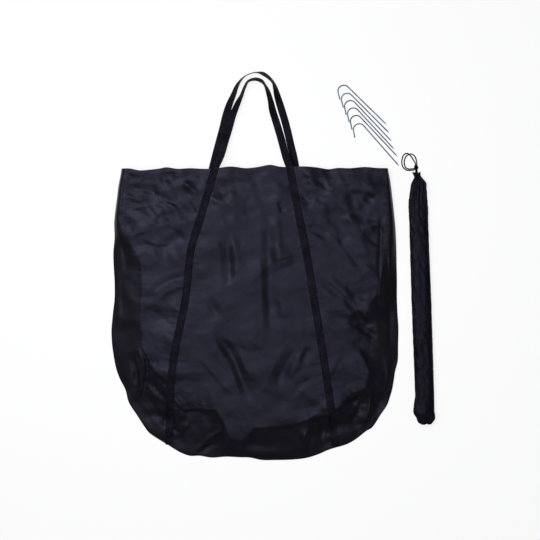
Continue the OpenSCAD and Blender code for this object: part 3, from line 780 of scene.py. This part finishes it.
# %% [markdown]
# ## Stitches
#
# A sewn strap has a row of stitches along each edge, and a box with a cross where it takes the
# load at the mouth. A stitch is a small grain shape, thicker in the middle. Its few faces are
# copied along a line as whole arrays: each copy is the grain, turned to the line's direction and
# moved to its place.

# %% Rows of stitches
RINGS, SIDES = 5, 6                 # rings along a stitch, and points in each
EDGE_ROW, CROSS_ROW = 10.3, 8       # how far from a strap's middle its rows and its box are sewn


def grain():
    """A stitch 1 long along X: rings whose radius is the root of 1 - (1.9 x)^2."""
    x = np.linspace(-0.5, 0.5, RINGS)
    r = np.sqrt(np.clip(1.0 - (1.9 * x) ** 2, 0.05, 1))
    a = np.linspace(0, 2 * np.pi, SIDES, endpoint=False)
    y, z = np.outer(r, np.cos(a)), np.outer(r, np.sin(a))
    return np.stack([np.repeat(x, SIDES), y.ravel(), z.ravel()], -1)


def grain_faces(count):
    """Faces of count grains: bands of quads between neighbouring rings, and a cap on each end."""
    start = np.arange(count)[:, None, None] * RINGS * SIDES
    ring = np.arange(SIDES)
    after = (ring + 1) % SIDES
    low = np.arange(RINGS - 1)[:, None] * SIDES
    bands = np.stack([low + ring, low + after, low + SIDES + after, low + SIDES + ring], -1)
    ends = np.stack([ring[::-1], ring + (RINGS - 1) * SIDES])
    return ((start + bands.reshape(-1, 4)).reshape(-1, 4).tolist()
            + (start + ends).reshape(-1, SIDES).tolist())


def stitch_row(line, pitch):
    """Places and directions at each pitch along a line of 3-D points."""
    count = max(2, int(lengths(line)[-1] / pitch))
    at = even(line, count + 1)
    return (at[:-1] + at[1:]) / 2, unit(at[1:] - at[:-1])


def stitches(name, lines, pitch=4.2, length=3.0, thick=0.75):
    """All rows as one mesh. A grain's points become place + x * length * t + (y * s + z * up) *
    thick / 2, where t is the row's direction and s is square to it and level."""
    places, ways = (np.vstack(part) for part in zip(*(stitch_row(line, pitch) for line in lines)))
    s = unit(np.cross([0, 0, 1.0], ways))
    up = np.cross(ways, s)
    g = grain()
    points = (places[:, None] + g[None, :, :1] * length * ways[:, None]
              + g[None, :, 1:2] * thick / 2 * s[:, None] + g[None, :, 2:] * thick / 2 * up[:, None])
    mesh = bpy.data.meshes.new(name)
    mesh.from_pydata((points.reshape(-1, 3) * MM).tolist(), [], grain_faces(len(places)))
    mesh.shade_smooth()
    piece = put_in_scene(name, mesh)
    crosses_hinge(piece)
    print(name, len(places), "stitches")
    return piece


def beside(line, off):
    """A level line moved off mm to its right."""
    ahead = unit(np.gradient(line, axis=0))
    return line + off * np.stack([ahead[:, 1], -ahead[:, 0]], -1)


def on_top(plan, lift):
    """A level line laid on the front cloth, lift mm above it."""
    return np.column_stack([plan, front(plan[:, 0], plan[:, 1]) + lift])


sewn = []
for side, run in runs.items():
    fine = cut(even(run, 600), -560, 318)
    sewn += [on_top(beside(fine, off), WEB_THICK + 0.05) for off in (-EDGE_ROW, EDGE_ROW)]
    crossing = cut(even(run, 600), 268, ROOT_Y)
    a, b = beside(crossing, -CROSS_ROW), beside(crossing, CROSS_ROW)
    for first, last in ((a[0], b[0]), (a[-1], b[-1]), (a[0], b[-1]), (b[0], a[-1])):
        sewn.append(on_top(even(np.array([first, last]), 14), WEB_THICK + 0.05))
web_stitches = stitches("webbing_stitches", sewn)
hem_line = np.column_stack([mouth[:, 0], mouth[:, 1] - HEM_STITCH])
hem_line = hem_line[(hem_line[:, 0] > -480) & (hem_line[:, 0] < 368)]
hem_stitches = stitches("hem_stitches", [on_top(even(hem_line, 280), 0.1)])
thread = [web_stitches, hem_stitches]

# %% [markdown]
# ## The pole pouch
#
# The pouch is a slim tube of the same nylon, drawn tight over five thin poles, so long soft ridges
# run down it. Its lower end is a flat seam with tucked corners, and its mouth is gathered to a
# neck by the drawcord and flares out again in a short ruffle. It is a grid of rings along the
# pouch.

# %% Pouch cloth
POUCH_AT, POUCH_LEAN = np.array([504.9, -524.7]), np.radians(2.1)
POUCH_WIDE = [
    [0, 14.5], [6, 22.4], [13, 27.6], [20, 30], [26, 32.2], [33, 34.5], [40, 35.2], [53, 34.8],
    [66, 34], [79, 33], [92, 31.8], [145, 31.8], [300, 32.5], [409, 33], [574, 32], [640, 31.7],
    [700, 30.9], [740, 28.5], [753, 26.4], [772, 24.8], [792, 23.0], [799, 20.6], [805, 17.0],
    [811, 13.2], [816, 10.4], [820, 9.4], [825, 11.6], [831, 12.6],
]
POUCH_HIGH = [
    [0, 9], [6, 11.4], [13, 13.3], [25, 14.6], [34, 15], [56, 14.6], [120, 14.2], [712, 14],
    [750, 13.6], [774, 13.2], [793, 12.4], [805, 11], [812, 9.6], [819, 7.6], [831, 9],
]
POUCH_MID = [[0, 12], [25, 14.6], [34, 15], [120, 14.2], [712, 14], [774, 13.4], [807, 12],
    [831, 11]]
POUCH_BEND = [
    [0, 1.3], [6, -1.4], [13, 0.5], [20, 0.6], [26, -1.3], [33, -4.2], [40, -5.5], [53, -4.8],
    [66, -3.9], [79, -2.5], [92, -0.6], [700, 0.8], [740, 1.2], [753, 2], [772, 3.9], [792, 6.1],
    [799, 6.2], [805, 5.2], [812, 3.9], [819, 2.6], [824, 0.2], [831, 0],
]


def pouch_points(s, a):
    """Ring at distance s and angle a: a superellipse with half width and half height read from the
    tables, flatter below, plus faint ridges over the poles, pleats that deepen towards the neck
    and the closed end, and slack patches of 10 to 30 mm, finer at both ends. The ruffle and the
    closed seam run out in short waves."""
    wide, high, mid, bend = (table(t, s) for t in (POUCH_WIDE, POUCH_HIGH, POUCH_MID, POUCH_BEND))
    c, d = np.cos(a), np.sin(a)
    c, d = np.sign(c) * np.abs(c) ** 0.86, np.sign(d) * np.abs(d) ** 0.92
    neck = step(640, 806, s) * (1 - 0.35 * step(818, 831, s))
    tail = step(46, 4, s)
    body = (1 - neck) * (1 - tail)
    top = np.maximum(np.sin(a), 0)
    ridge = 0.5 * np.exp(-((a - 1.25) / 0.2) ** 2) + 0.4 * np.exp(-((a - 1.95) / 0.22) ** 2)
    ridge = ridge - 0.7 * np.exp(-((a - 2.42) / 0.24) ** 2) - 0.2 * np.exp(-((a - 1.6) / 0.2) ** 2)
    pleat = 0.13 * np.cos(11 * a + 1.3 * np.sin(2 * a)) * neck
    pleat = pleat + 0.09 * np.cos(19 * a + 2 + s / 60) * neck
    tuck = 0.05 * np.cos(9 * a + 0.7) * tail + 0.07 * np.cos(17 * a + s / 7) * tail
    pull = 1.5 * noise(s / 30 + 1.4 * c, a * 1.7 + s / 60, 31) + 0.5 * noise(s / 150, a * 2.2, 32)
    pull = pull + (0.6 + 1.1 * tail + 0.7 * step(600, 700, s)) * noise(s / 10, a * 3.0, 33)
    grow = 1 + pleat + tuck
    x = bend + c * (wide * grow + pull * (0.35 + 0.65 * top))
    z = mid + d * high * grow + top * (body * ridge + 0.75 * pull)
    ruffle = step(818, 831, s)
    waves = 2.4 * ruffle * np.cos(7 * a + 0.6) * (1 - 0.4 * np.abs(d))
    waves = waves + 1.6 * neck * np.cos(3 * a) * step(800, 815, s)
    s = s + waves - step(16, 0, s) * (1.6 + 1.3 * np.cos(6 * a + 0.4))
    z = np.maximum(np.where(z < 0.7, 0.35 + 0.5 * np.maximum(z, 0), z), 0.35)
    return np.stack([x, s, z], -1)


def in_pouch(points):
    """Turns points by the pouch's lean and moves them to its place."""
    c, d = np.cos(POUCH_LEAN), np.sin(POUCH_LEAN)
    x, y = points[..., 0], points[..., 1]
    turned = np.stack([c * x - d * y, d * x + c * y], -1)
    return np.concatenate([turned + POUCH_AT, points[..., 2:]], -1)


SHUT_RINGS = ((0.05, 3.2), (0.45, 3.0), (0.8, 1.6), (0.95, 0.2))    # share of the ring, depth
MOUTH_RINGS = ((831.0, 830.5, 0.93), (827.0, 827.0, 0.8), (822.0, 822.0, 0.6), (818.0, 818.0, 0.42))


def pouch_grid():
    """The rings between a tuck at the closed seam and the gathered inside of the mouth, and each
    ring's distance along the cloth. A tucked ring is middle + share * (ring - middle). A ring of
    the mouth's inside is the outer one at that station, shrunk by its share about its centre."""
    stations = np.concatenate(
        [np.linspace(0, 30, 22)[:-1], np.linspace(30, 640, 210)[:-1], np.linspace(640, 831, 96)])
    angles = np.linspace(0, 2 * np.pi, 120, endpoint=False)
    rings = pouch_points(stations[:, None], angles[None])
    shut = pouch_points(np.array([[0.0]]), angles[None])
    middle = shut.mean(axis=1, keepdims=True)
    tucked = [middle + (shut - middle) * share + np.array([0, deep, 0])
              for share, deep in SHUT_RINGS]
    at, lies_at, share = np.array(MOUTH_RINGS).T
    inside = pouch_points(at[:, None], angles[None])
    centre = inside.mean(axis=1, keepdims=True)
    inside = centre + (inside - centre) * share[:, None, None] * [1, 0.3, 1]
    inside[..., 1] = lies_at[:, None] + 0.6 * (inside[..., 1] - centre[..., 1])
    along = np.concatenate([np.zeros(len(SHUT_RINGS)), stations, [835, 839, 843, 847]])
    return np.concatenate(tucked + [rings, inside]), along


pouch_rings, pouch_along = pouch_grid()
pouch = surface("pouch_cloth", in_pouch(pouch_rings), "pouch",
                uv=(pouch_along, np.linspace(0, 180, 121)), wrap=True, flip=True, caps=True)
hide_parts("pouch_sleeve")
print("pouch cloth", len(pouch.data.polygons), "faces")

# %% [markdown]
# ## Binding inside the bag
#
# Both panel seams are bound with a narrow tape, inside. It follows the seam just under the cloth
# and shows only when the mouth is lifted.

# %% Seam bindings
def binding(name, height, node, body):
    """Strip 10 mm wide inside the seam, each row from the seam inwards, with its own thickness."""
    ahead = np.gradient(seam_line, axis=0)
    inward = unit(np.column_stack([-ahead[:, 1], ahead[:, 0]]))
    off = np.linspace(1.5, 11.5, 4)
    plan = (seam_line[:, None] + inward[:, None] * off[None, :, None])[8:-8:3]
    piece = thicken(surface(name, np.dstack([plan, over(height, plan)]), body), 0.6, 0.0)
    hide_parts(node)
    return piece


front_binding = binding("front_seam_binding", lambda x, y: front(x, y) - 1.5,
                        "front_seam_tape", None)
crosses_hinge(front_binding)
back_binding = binding("back_seam_binding", lambda x, y: np.full_like(x, 3.4),
                       "back_seam_tape", "bag")
tapes = [front_binding, back_binding]
print("bindings:", [piece.name for piece in tapes])

# %% [markdown]
# ## What the soft pieces were cut from
#
# The panels are cut from a rectangle whose lower corners are rounded away. The gusset is one long
# strip, folded along its middle. The pouch is full of poles.


# %% [markdown]
# ## Finishes
#
# Each finish starts from what the real thing is, except the zinc wire's colour, which holds a
# painted reflection. Colours are written as hex values and turned to linear light by one function.
# One small function adds a node with its settings and links. Pattern scales are worked out from
# millimetres.

# %% Colour and node helpers
def linear(hex_value, alpha=1.0):
    """sRGB to linear: c / 12.92 below 0.04045, else ((c + 0.055) / 1.055) ** 2.4."""
    c = np.array([int(hex_value[k:k + 2], 16) / 255 for k in (1, 3, 5)])
    c = np.where(c <= 0.04045, c / 12.92, ((c + 0.055) / 1.055) ** 2.4)
    return (*c.tolist(), alpha)


def add(tree, kind, values=None, links=None, **settings):
    """Adds a node: settings are its properties, values its inputs' numbers, links its inputs'
    sources."""
    made = tree.nodes.new(kind)
    for key, value in settings.items():
        setattr(made, key, value)
    for key, value in (values or {}).items():
        made.inputs[key].default_value = value
    for key, (source, output) in (links or {}).items():
        tree.links.new(source.outputs[output], made.inputs[key])
    return made


def wave_scale(period_mm):
    """Scale of a wave texture for a period in mm: bands repeat every 2 pi / (20 * scale) m."""
    return 2 * np.pi / (20 * period_mm * MM)


def material(name):
    """An empty material with its output node, and the tree to build it in."""
    made = bpy.data.materials.new(name)
    made.use_nodes = True
    made.node_tree.nodes.clear()
    return made, made.node_tree, made.node_tree.nodes.new("ShaderNodeOutputMaterial")


def ramp(tree, factor, dark, light, start=0.0, end=1.0):
    """Colour that goes from dark where the factor is at start to light where it is at end."""
    tone = add(tree, "ShaderNodeValToRGB", links={"Fac": factor})
    for element, place, colour in zip(tone.color_ramp.elements, (start, end), (dark, light)):
        element.position, element.color = place, linear(colour)
    return tone


def spread(tree, factor, start, end, low=0.0, high=1.0):
    """Number that goes from low where the factor is at start to high where it is at end."""
    span = {"From Min": start, "From Max": end, "To Min": low, "To Max": high}
    return add(tree, "ShaderNodeMapRange", span, {"Value": factor})


def relief_of(tree, height, strength, depth_mm, under=None):
    """Bump from a height, over the bump under it if there is one."""
    links = {"Height": height}
    if under:
        links["Normal"] = (under, "Normal")
    return add(tree, "ShaderNodeBump", {"Strength": strength, "Distance": depth_mm * MM}, links)


def finish_with(tree, output, shader):
    """Shows the shader on the surface."""
    tree.links.new(shader.outputs[0], output.inputs["Surface"])


def dress(pieces, made):
    """Gives every piece this material and no other."""
    for piece in pieces:
        piece.data.materials.clear()
        piece.data.materials.append(made)


# %% [markdown]
# ### Satin nylon
#
# Bag nylon is woven from flat shiny filaments and coated on the back. Light slides over it: level
# cloth shines softly, and cloth that slopes away goes almost black. The weave is some 0.35 mm, too
# fine to see from above, so the bump carries short soft creases of 4 to 12 mm, and the weave only
# roughens them.

# %% Satin nylon
SATIN_TINT = "#cdccff"


def satin_nylon(name, dark, light, roughness, specular, crease):
    """Cloth with a slow drift of tone and gloss, soft creases, and yarns 0.7 mm apart."""
    made, tree, output = material(name)
    place = add(tree, "ShaderNodeTexCoord")
    drift = add(tree, "ShaderNodeTexNoise", {"Scale": 9.0, "Detail": 3.0, "Roughness": 0.55},
                {"Vector": (place, "Object")})
    tone = ramp(tree, (drift, "Fac"), dark, light, 0.32, 0.7)
    creases = add(tree, "ShaderNodeTexNoise",
                  {"Scale": 95.0, "Detail": 4.0, "Roughness": 0.6, "Distortion": 0.8},
                  {"Vector": (place, "Object")})
    yarn = {"Scale": wave_scale(0.7), "Distortion": 0.4, "Detail": 1.0}
    warp, weft = (add(tree, "ShaderNodeTexWave", yarn, {"Vector": (place, "Object")},
                      bands_direction=way) for way in "XY")
    both = add(tree, "ShaderNodeMath", links={0: (warp, "Fac"), 1: (weft, "Fac")},
               operation="MULTIPLY")
    fine = relief_of(tree, (both, 0), 0.12, 0.06)
    bump = relief_of(tree, (creases, "Fac"), crease, 0.8, under=fine)
    gloss = spread(tree, (drift, "Fac"), 0.3, 0.7, roughness - 0.05, roughness + 0.07)
    shader = add(tree, "ShaderNodeBsdfPrincipled",
                 {"Specular IOR Level": specular, "IOR": 1.53, "Specular Tint": linear(SATIN_TINT)},
                 {"Base Color": (tone, "Color"), "Roughness": (gloss, "Result"),
                  "Normal": (bump, "Normal")})
    finish_with(tree, output, shader)
    return made


panel_nylon = satin_nylon("satin_nylon_panel", "#0c0b0e", "#100f12", 0.37, 0.14, 0.25)
gusset_nylon = satin_nylon("satin_nylon_gusset", "#100f11", "#131214", 0.38, 0.12, 0.25)
pouch_nylon = satin_nylon("satin_nylon_pouch", "#0a090c", "#131216", 0.4, 0.08, 0.4)
dress([front_panel], panel_nylon)
dress([gusset, back_panel], gusset_nylon)
dress([pouch], pouch_nylon)
print("nylon finishes:", panel_nylon.name, gusset_nylon.name, pouch_nylon.name)

# %% [markdown]
# ### Polypropylene webbing
#
# Webbing is a thick plain weave: ribs run across it every 1.6 mm, and the warp shows as lines
# along it 2 mm apart. It is matt black with a faint shine on the raised yarns. The pattern reads
# the strap's own distances along and across, so it follows every bend.

# %% Webbing, tape and thread
def woven(name, dark, light, rib, warp, roughness, coordinates):
    """Weave of ribs and warp lines, with yarns a few millimetres long that are paler or darker,
    and a slower change of tone along the strap."""
    made, tree, output = material(name)
    if coordinates == "strap":
        source = (add(tree, "ShaderNodeUVMap", uv_map="Distance"), "UV")
    else:
        source = (add(tree, "ShaderNodeTexCoord"), "Object")
    ribs = add(tree, "ShaderNodeTexWave",
               {"Scale": wave_scale(rib), "Distortion": 0.3, "Detail": 0.0},
               {"Vector": source}, bands_direction="X")
    warps = add(tree, "ShaderNodeTexWave",
                {"Scale": wave_scale(warp), "Distortion": 0.2, "Detail": 0.0},
                {"Vector": source}, bands_direction="Y")
    both = add(tree, "ShaderNodeMath", links={0: (ribs, "Fac"), 1: (warps, "Fac")},
               operation="MULTIPLY")
    fuzz = add(tree, "ShaderNodeTexNoise",
               {"Scale": 1 / (6 * MM), "Detail": 3.0, "Roughness": 0.65}, {"Vector": source})
    height = add(tree, "ShaderNodeMath", {1: 0.6}, {0: (fuzz, "Fac"), 2: (both, 0)},
                 operation="MULTIPLY_ADD")
    slow = add(tree, "ShaderNodeTexNoise", {"Scale": 1 / (45 * MM), "Detail": 2.0},
               {"Vector": source})
    mixture = add(tree, "ShaderNodeMath", {1: 0.9}, {0: (slow, "Fac"), 2: (fuzz, "Fac")},
                  operation="MULTIPLY_ADD")
    worn = spread(tree, (mixture, 0), 0.74, 1.2)
    tone = ramp(tree, (worn, "Result"), dark, light)
    bump = relief_of(tree, (height, 0), 0.7, 0.35)
    shader = add(tree, "ShaderNodeBsdfPrincipled",
                 {"Roughness": roughness, "Specular IOR Level": 0.08, "IOR": 1.49,
                  "Specular Tint": linear(SATIN_TINT)},
                 {"Base Color": (tone, "Color"), "Normal": (bump, "Normal")})
    finish_with(tree, output, shader)
    return made


webbing = woven("polypropylene_webbing", "#040304", "#19171d", 1.6, 2.0, 0.55, "strap")
binding_tape = woven("woven_binding_tape", "#08080a", "#131316", 0.9, 0.9, 0.75, "object")
spun_thread = woven("polyester_thread", "#0c0c0e", "#1c1c21", 0.6, 0.6, 0.5, "object")
dress(straps, webbing)
dress(tapes, binding_tape)
dress(thread, spun_thread)
print("woven finishes:", webbing.name, binding_tape.name, spun_thread.name)

# %% [markdown]
# ### Braided cord
#
# The drawcord is a 16-strand polyester braid: strands run round it both ways, so it shows small
# diamonds. Two slanting waves on the cord's own distances, one left and one right, cross to make
# them.

# %% Braided cord
def braid(name, dark, light, pitch):
    """Two waves, slanting 0.7 radians left and right of the cord's length, the higher shown."""
    made, tree, output = material(name)
    place = add(tree, "ShaderNodeUVMap", uv_map="Distance")
    waves = []
    for slant in (0.7, -0.7):
        turn = add(tree, "ShaderNodeMapping", {"Rotation": (0, 0, slant)},
                   {"Vector": (place, "UV")})
        waves.append(add(tree, "ShaderNodeTexWave", {"Scale": wave_scale(pitch)},
                         {"Vector": (turn, "Vector")}, bands_direction="X"))
    both = add(tree, "ShaderNodeMath", links={0: (waves[0], "Fac"), 1: (waves[1], "Fac")},
               operation="MAXIMUM")
    tone = ramp(tree, (both, 0), dark, light)
    bump = relief_of(tree, (both, 0), 0.8, 0.3)
    shader = add(tree, "ShaderNodeBsdfPrincipled", {"Roughness": 0.7, "Specular IOR Level": 0.04},
                 {"Base Color": (tone, "Color"), "Normal": (bump, "Normal")})
    finish_with(tree, output, shader)
    return made


cord_braid = braid("braided_polyester_cord", "#020203", "#070708", 1.6)
dress(cord_pieces, cord_braid)
print("cord finish:", cord_braid.name)

# %% [markdown]
# ### Zinc-plated wire
#
# The pegs are cold-drawn steel wire, 4 mm thick, bent and then plated with zinc and passivated
# blue. The metal is cool and never mirror bright. Its colour is kept far darker and bluer than
# bright zinc: a painted reflection of the dark room that real pegs mirror, over the faint blue of
# the passivation. Tone and gloss drift in soft patches of one or two centimetres, from dark steel
# blue to paler.

# %% Zinc-plated steel
def plated(name, low, high, roughness, patch_mm):
    """Metal whose tone and gloss change over patches, with a fine grit of half a millimetre."""
    made, tree, output = material(name)
    place = add(tree, "ShaderNodeTexCoord")
    dull = add(tree, "ShaderNodeTexNoise",
               {"Scale": 1 / (patch_mm * MM), "Detail": 3.0, "Roughness": 0.6},
               {"Vector": (place, "Object")})
    grit = add(tree, "ShaderNodeTexNoise", {"Scale": 1 / (0.5 * MM), "Detail": 2.0},
               {"Vector": (place, "Object")})
    tone = ramp(tree, (dull, "Fac"), low, high, 0.3, 0.72)
    rough = spread(tree, (dull, "Fac"), 0.3, 0.7, roughness - 0.08, roughness + 0.12)
    bump = relief_of(tree, (grit, "Fac"), 0.25, 0.05)
    shader = add(tree, "ShaderNodeBsdfPrincipled", {"Metallic": 1.0},
                 {"Base Color": (tone, "Color"), "Roughness": (rough, "Result"),
                  "Normal": (bump, "Normal")})
    finish_with(tree, output, shader)
    return made


# The wire's dark blue colour is painted reflection of a dark room, over the passivation's real
# blue.
zinc = plated("zinc_wire_painted_reflection", "#16263a", "#5f7c98", 0.3, 22)
ferrule_steel = plated("nickel_plated_tube", "#a4a6a8", "#c6c7c8", 0.25, 4)
dress([nodes[f"peg_{k}"] for k in range(1, 7)], zinc)
dress([nodes[f"pole_ferrule_{k}"] for k in range(1, 5)], ferrule_steel)
print("metal finishes:", zinc.name, ferrule_steel.name)

# %% [markdown]
# ### The folded pole, inside
#
# These pieces never show in the laid-out set, but they are part of it: pultruded glass fibre with
# fine lines along it, moulded rubber tips, an elastic cord in a braided cover, and the drawcord's
# turn inside its channel. That turn has no distances of its own to carry a braid, so a fine grain
# stands for it.

# %% Fibreglass, rubber and elastic
def moulded(name, dark, light, roughness, specular, grain_mm, along=1.0):
    """Plain finish with a grain, which may be drawn out along the pole."""
    made, tree, output = material(name)
    place = add(tree, "ShaderNodeTexCoord")
    stretch = add(tree, "ShaderNodeMapping", {"Scale": (1.0, along, 1.0)},
                  {"Vector": (place, "Object")})
    speck = add(tree, "ShaderNodeTexNoise", {"Scale": 1 / (grain_mm * MM), "Detail": 2.0},
                {"Vector": (stretch, "Vector")})
    tone = ramp(tree, (speck, "Fac"), dark, light)
    bump = relief_of(tree, (speck, "Fac"), 0.3, 0.1)
    shader = add(tree, "ShaderNodeBsdfPrincipled",
                 {"Roughness": roughness, "Specular IOR Level": specular},
                 {"Base Color": (tone, "Color"), "Normal": (bump, "Normal")})
    finish_with(tree, output, shader)
    return made


fibreglass = moulded("pultruded_fibreglass", "#1a1b1e", "#2a2c30", 0.3, 0.5, 1.0, 0.05)
tip_rubber = moulded("moulded_rubber", "#0d0d0e", "#171718", 0.8, 0.3, 0.6)
elastic = moulded("braided_elastic", "#0e0e10", "#1e1e22", 0.7, 0.3, 0.5)
cord_inside = moulded("braided_cord_in_channel", "#020203", "#070708", 0.7, 0.04, 0.8)
dress([nodes[f"pole_section_{k}"] for k in range(1, 6)], fibreglass)
dress([nodes["pole_tip_first"], nodes["pole_tip_last"]], tip_rubber)
dress([nodes["pole_shock_cord"]], elastic)
dress([nodes["drawcord_turn"]], cord_inside)
print("inner finishes:", fibreglass.name, tip_rubber.name, elastic.name, cord_inside.name)

# %% [markdown]
# ## Ground and light
#
# The ground is white paper. Three softboxes light the set: a large one overhead, a small bright
# one beyond its upper left corner, and a weak one low on the left. The world around is a plain
# grey that is brightest overhead. So level cloth shines softly, slopes that face the upper left
# catch a highlight, and slopes that face away go dark. Together they give about the light at which
# a colour renders as written.

# %% White ground
HALF, GROUND_Z = 7.0, -0.4 * MM
corners = [(x * HALF, y * HALF, GROUND_Z) for x, y in ((-1, -1), (1, -1), (1, 1), (-1, 1))]
sheet_mesh = bpy.data.meshes.new("paper_ground")
sheet_mesh.from_pydata(corners, [], [(0, 1, 2, 3)])
paper_ground = put_in_scene("paper_ground", sheet_mesh)
paper, tree, output = material("white_paper")
seen = add(tree, "ShaderNodeLightPath")
camera_or_gloss = add(tree, "ShaderNodeMath",
                      links={0: (seen, "Is Camera Ray"), 1: (seen, "Is Glossy Ray")},
                      operation="MAXIMUM")
any_of_three = add(tree, "ShaderNodeMath",
                   links={0: (camera_or_gloss, 0), 1: (seen, "Is Transmission Ray")},
                   operation="MAXIMUM")
share = add(tree, "ShaderNodeMath", {1: 0.8}, {0: (any_of_three, 0)}, operation="MULTIPLY")
matt = add(tree, "ShaderNodeBsdfDiffuse", {"Color": linear("#fafafa")})
glow = add(tree, "ShaderNodeEmission", {"Color": linear("#ffffff"), "Strength": 1.0})
mixed = add(tree, "ShaderNodeMixShader", links={0: (share, 0), 1: (matt, 0), 2: (glow, 0)})
finish_with(tree, output, mixed)
dress([paper_ground], paper)

# %% Soft light and world
def softbox(name, size, watts, place):
    """Square lamp at a place in metres, turned to the middle of the set. Its brightness is watts
    over pi times size squared."""
    data = bpy.data.lights.new(name, "AREA")
    data.shape, data.size, data.energy = "SQUARE", size, watts
    lamp = bpy.data.objects.new(name, data)
    lamp.location = place
    lamp.rotation_euler = (-np.arctan2(place[1], place[2]), np.arctan2(place[0], place[2]), 0)
    lamp.visible_camera = False
    bpy.context.scene.collection.objects.link(lamp)
    print(f"{name} {size} m, {watts} W, brightness {watts / (np.pi * size**2):.2f}")


softbox("overhead_softbox", 2.1, 34.0, (-0.12, 0.05, 2.6))
softbox("key_softbox", 0.9, 22.0, (-0.8, 0.8, 2.3))
softbox("side_softbox", 1.2, 7.0, (-2.0, 0.4, 1.8))

world = bpy.data.worlds.new("room")
bpy.context.scene.world = world
world.use_nodes = True
sky = world.node_tree
sky.nodes.clear()
way = add(sky, "ShaderNodeTexCoord")
parts = add(sky, "ShaderNodeSeparateXYZ", links={"Vector": (way, "Generated")})
rise = spread(sky, (parts, "Z"), 0.5, 1.0, 0.15, 0.5)
room = add(sky, "ShaderNodeBackground", {"Color": linear("#f4f6fa")},
           {"Strength": (rise, "Result")})
sky_out = add(sky, "ShaderNodeOutputWorld", links={"Surface": (room, 0)})
bpy.context.scene.view_settings.view_transform = "Standard"
print("world from 0.15 at the walls to 0.5 overhead")
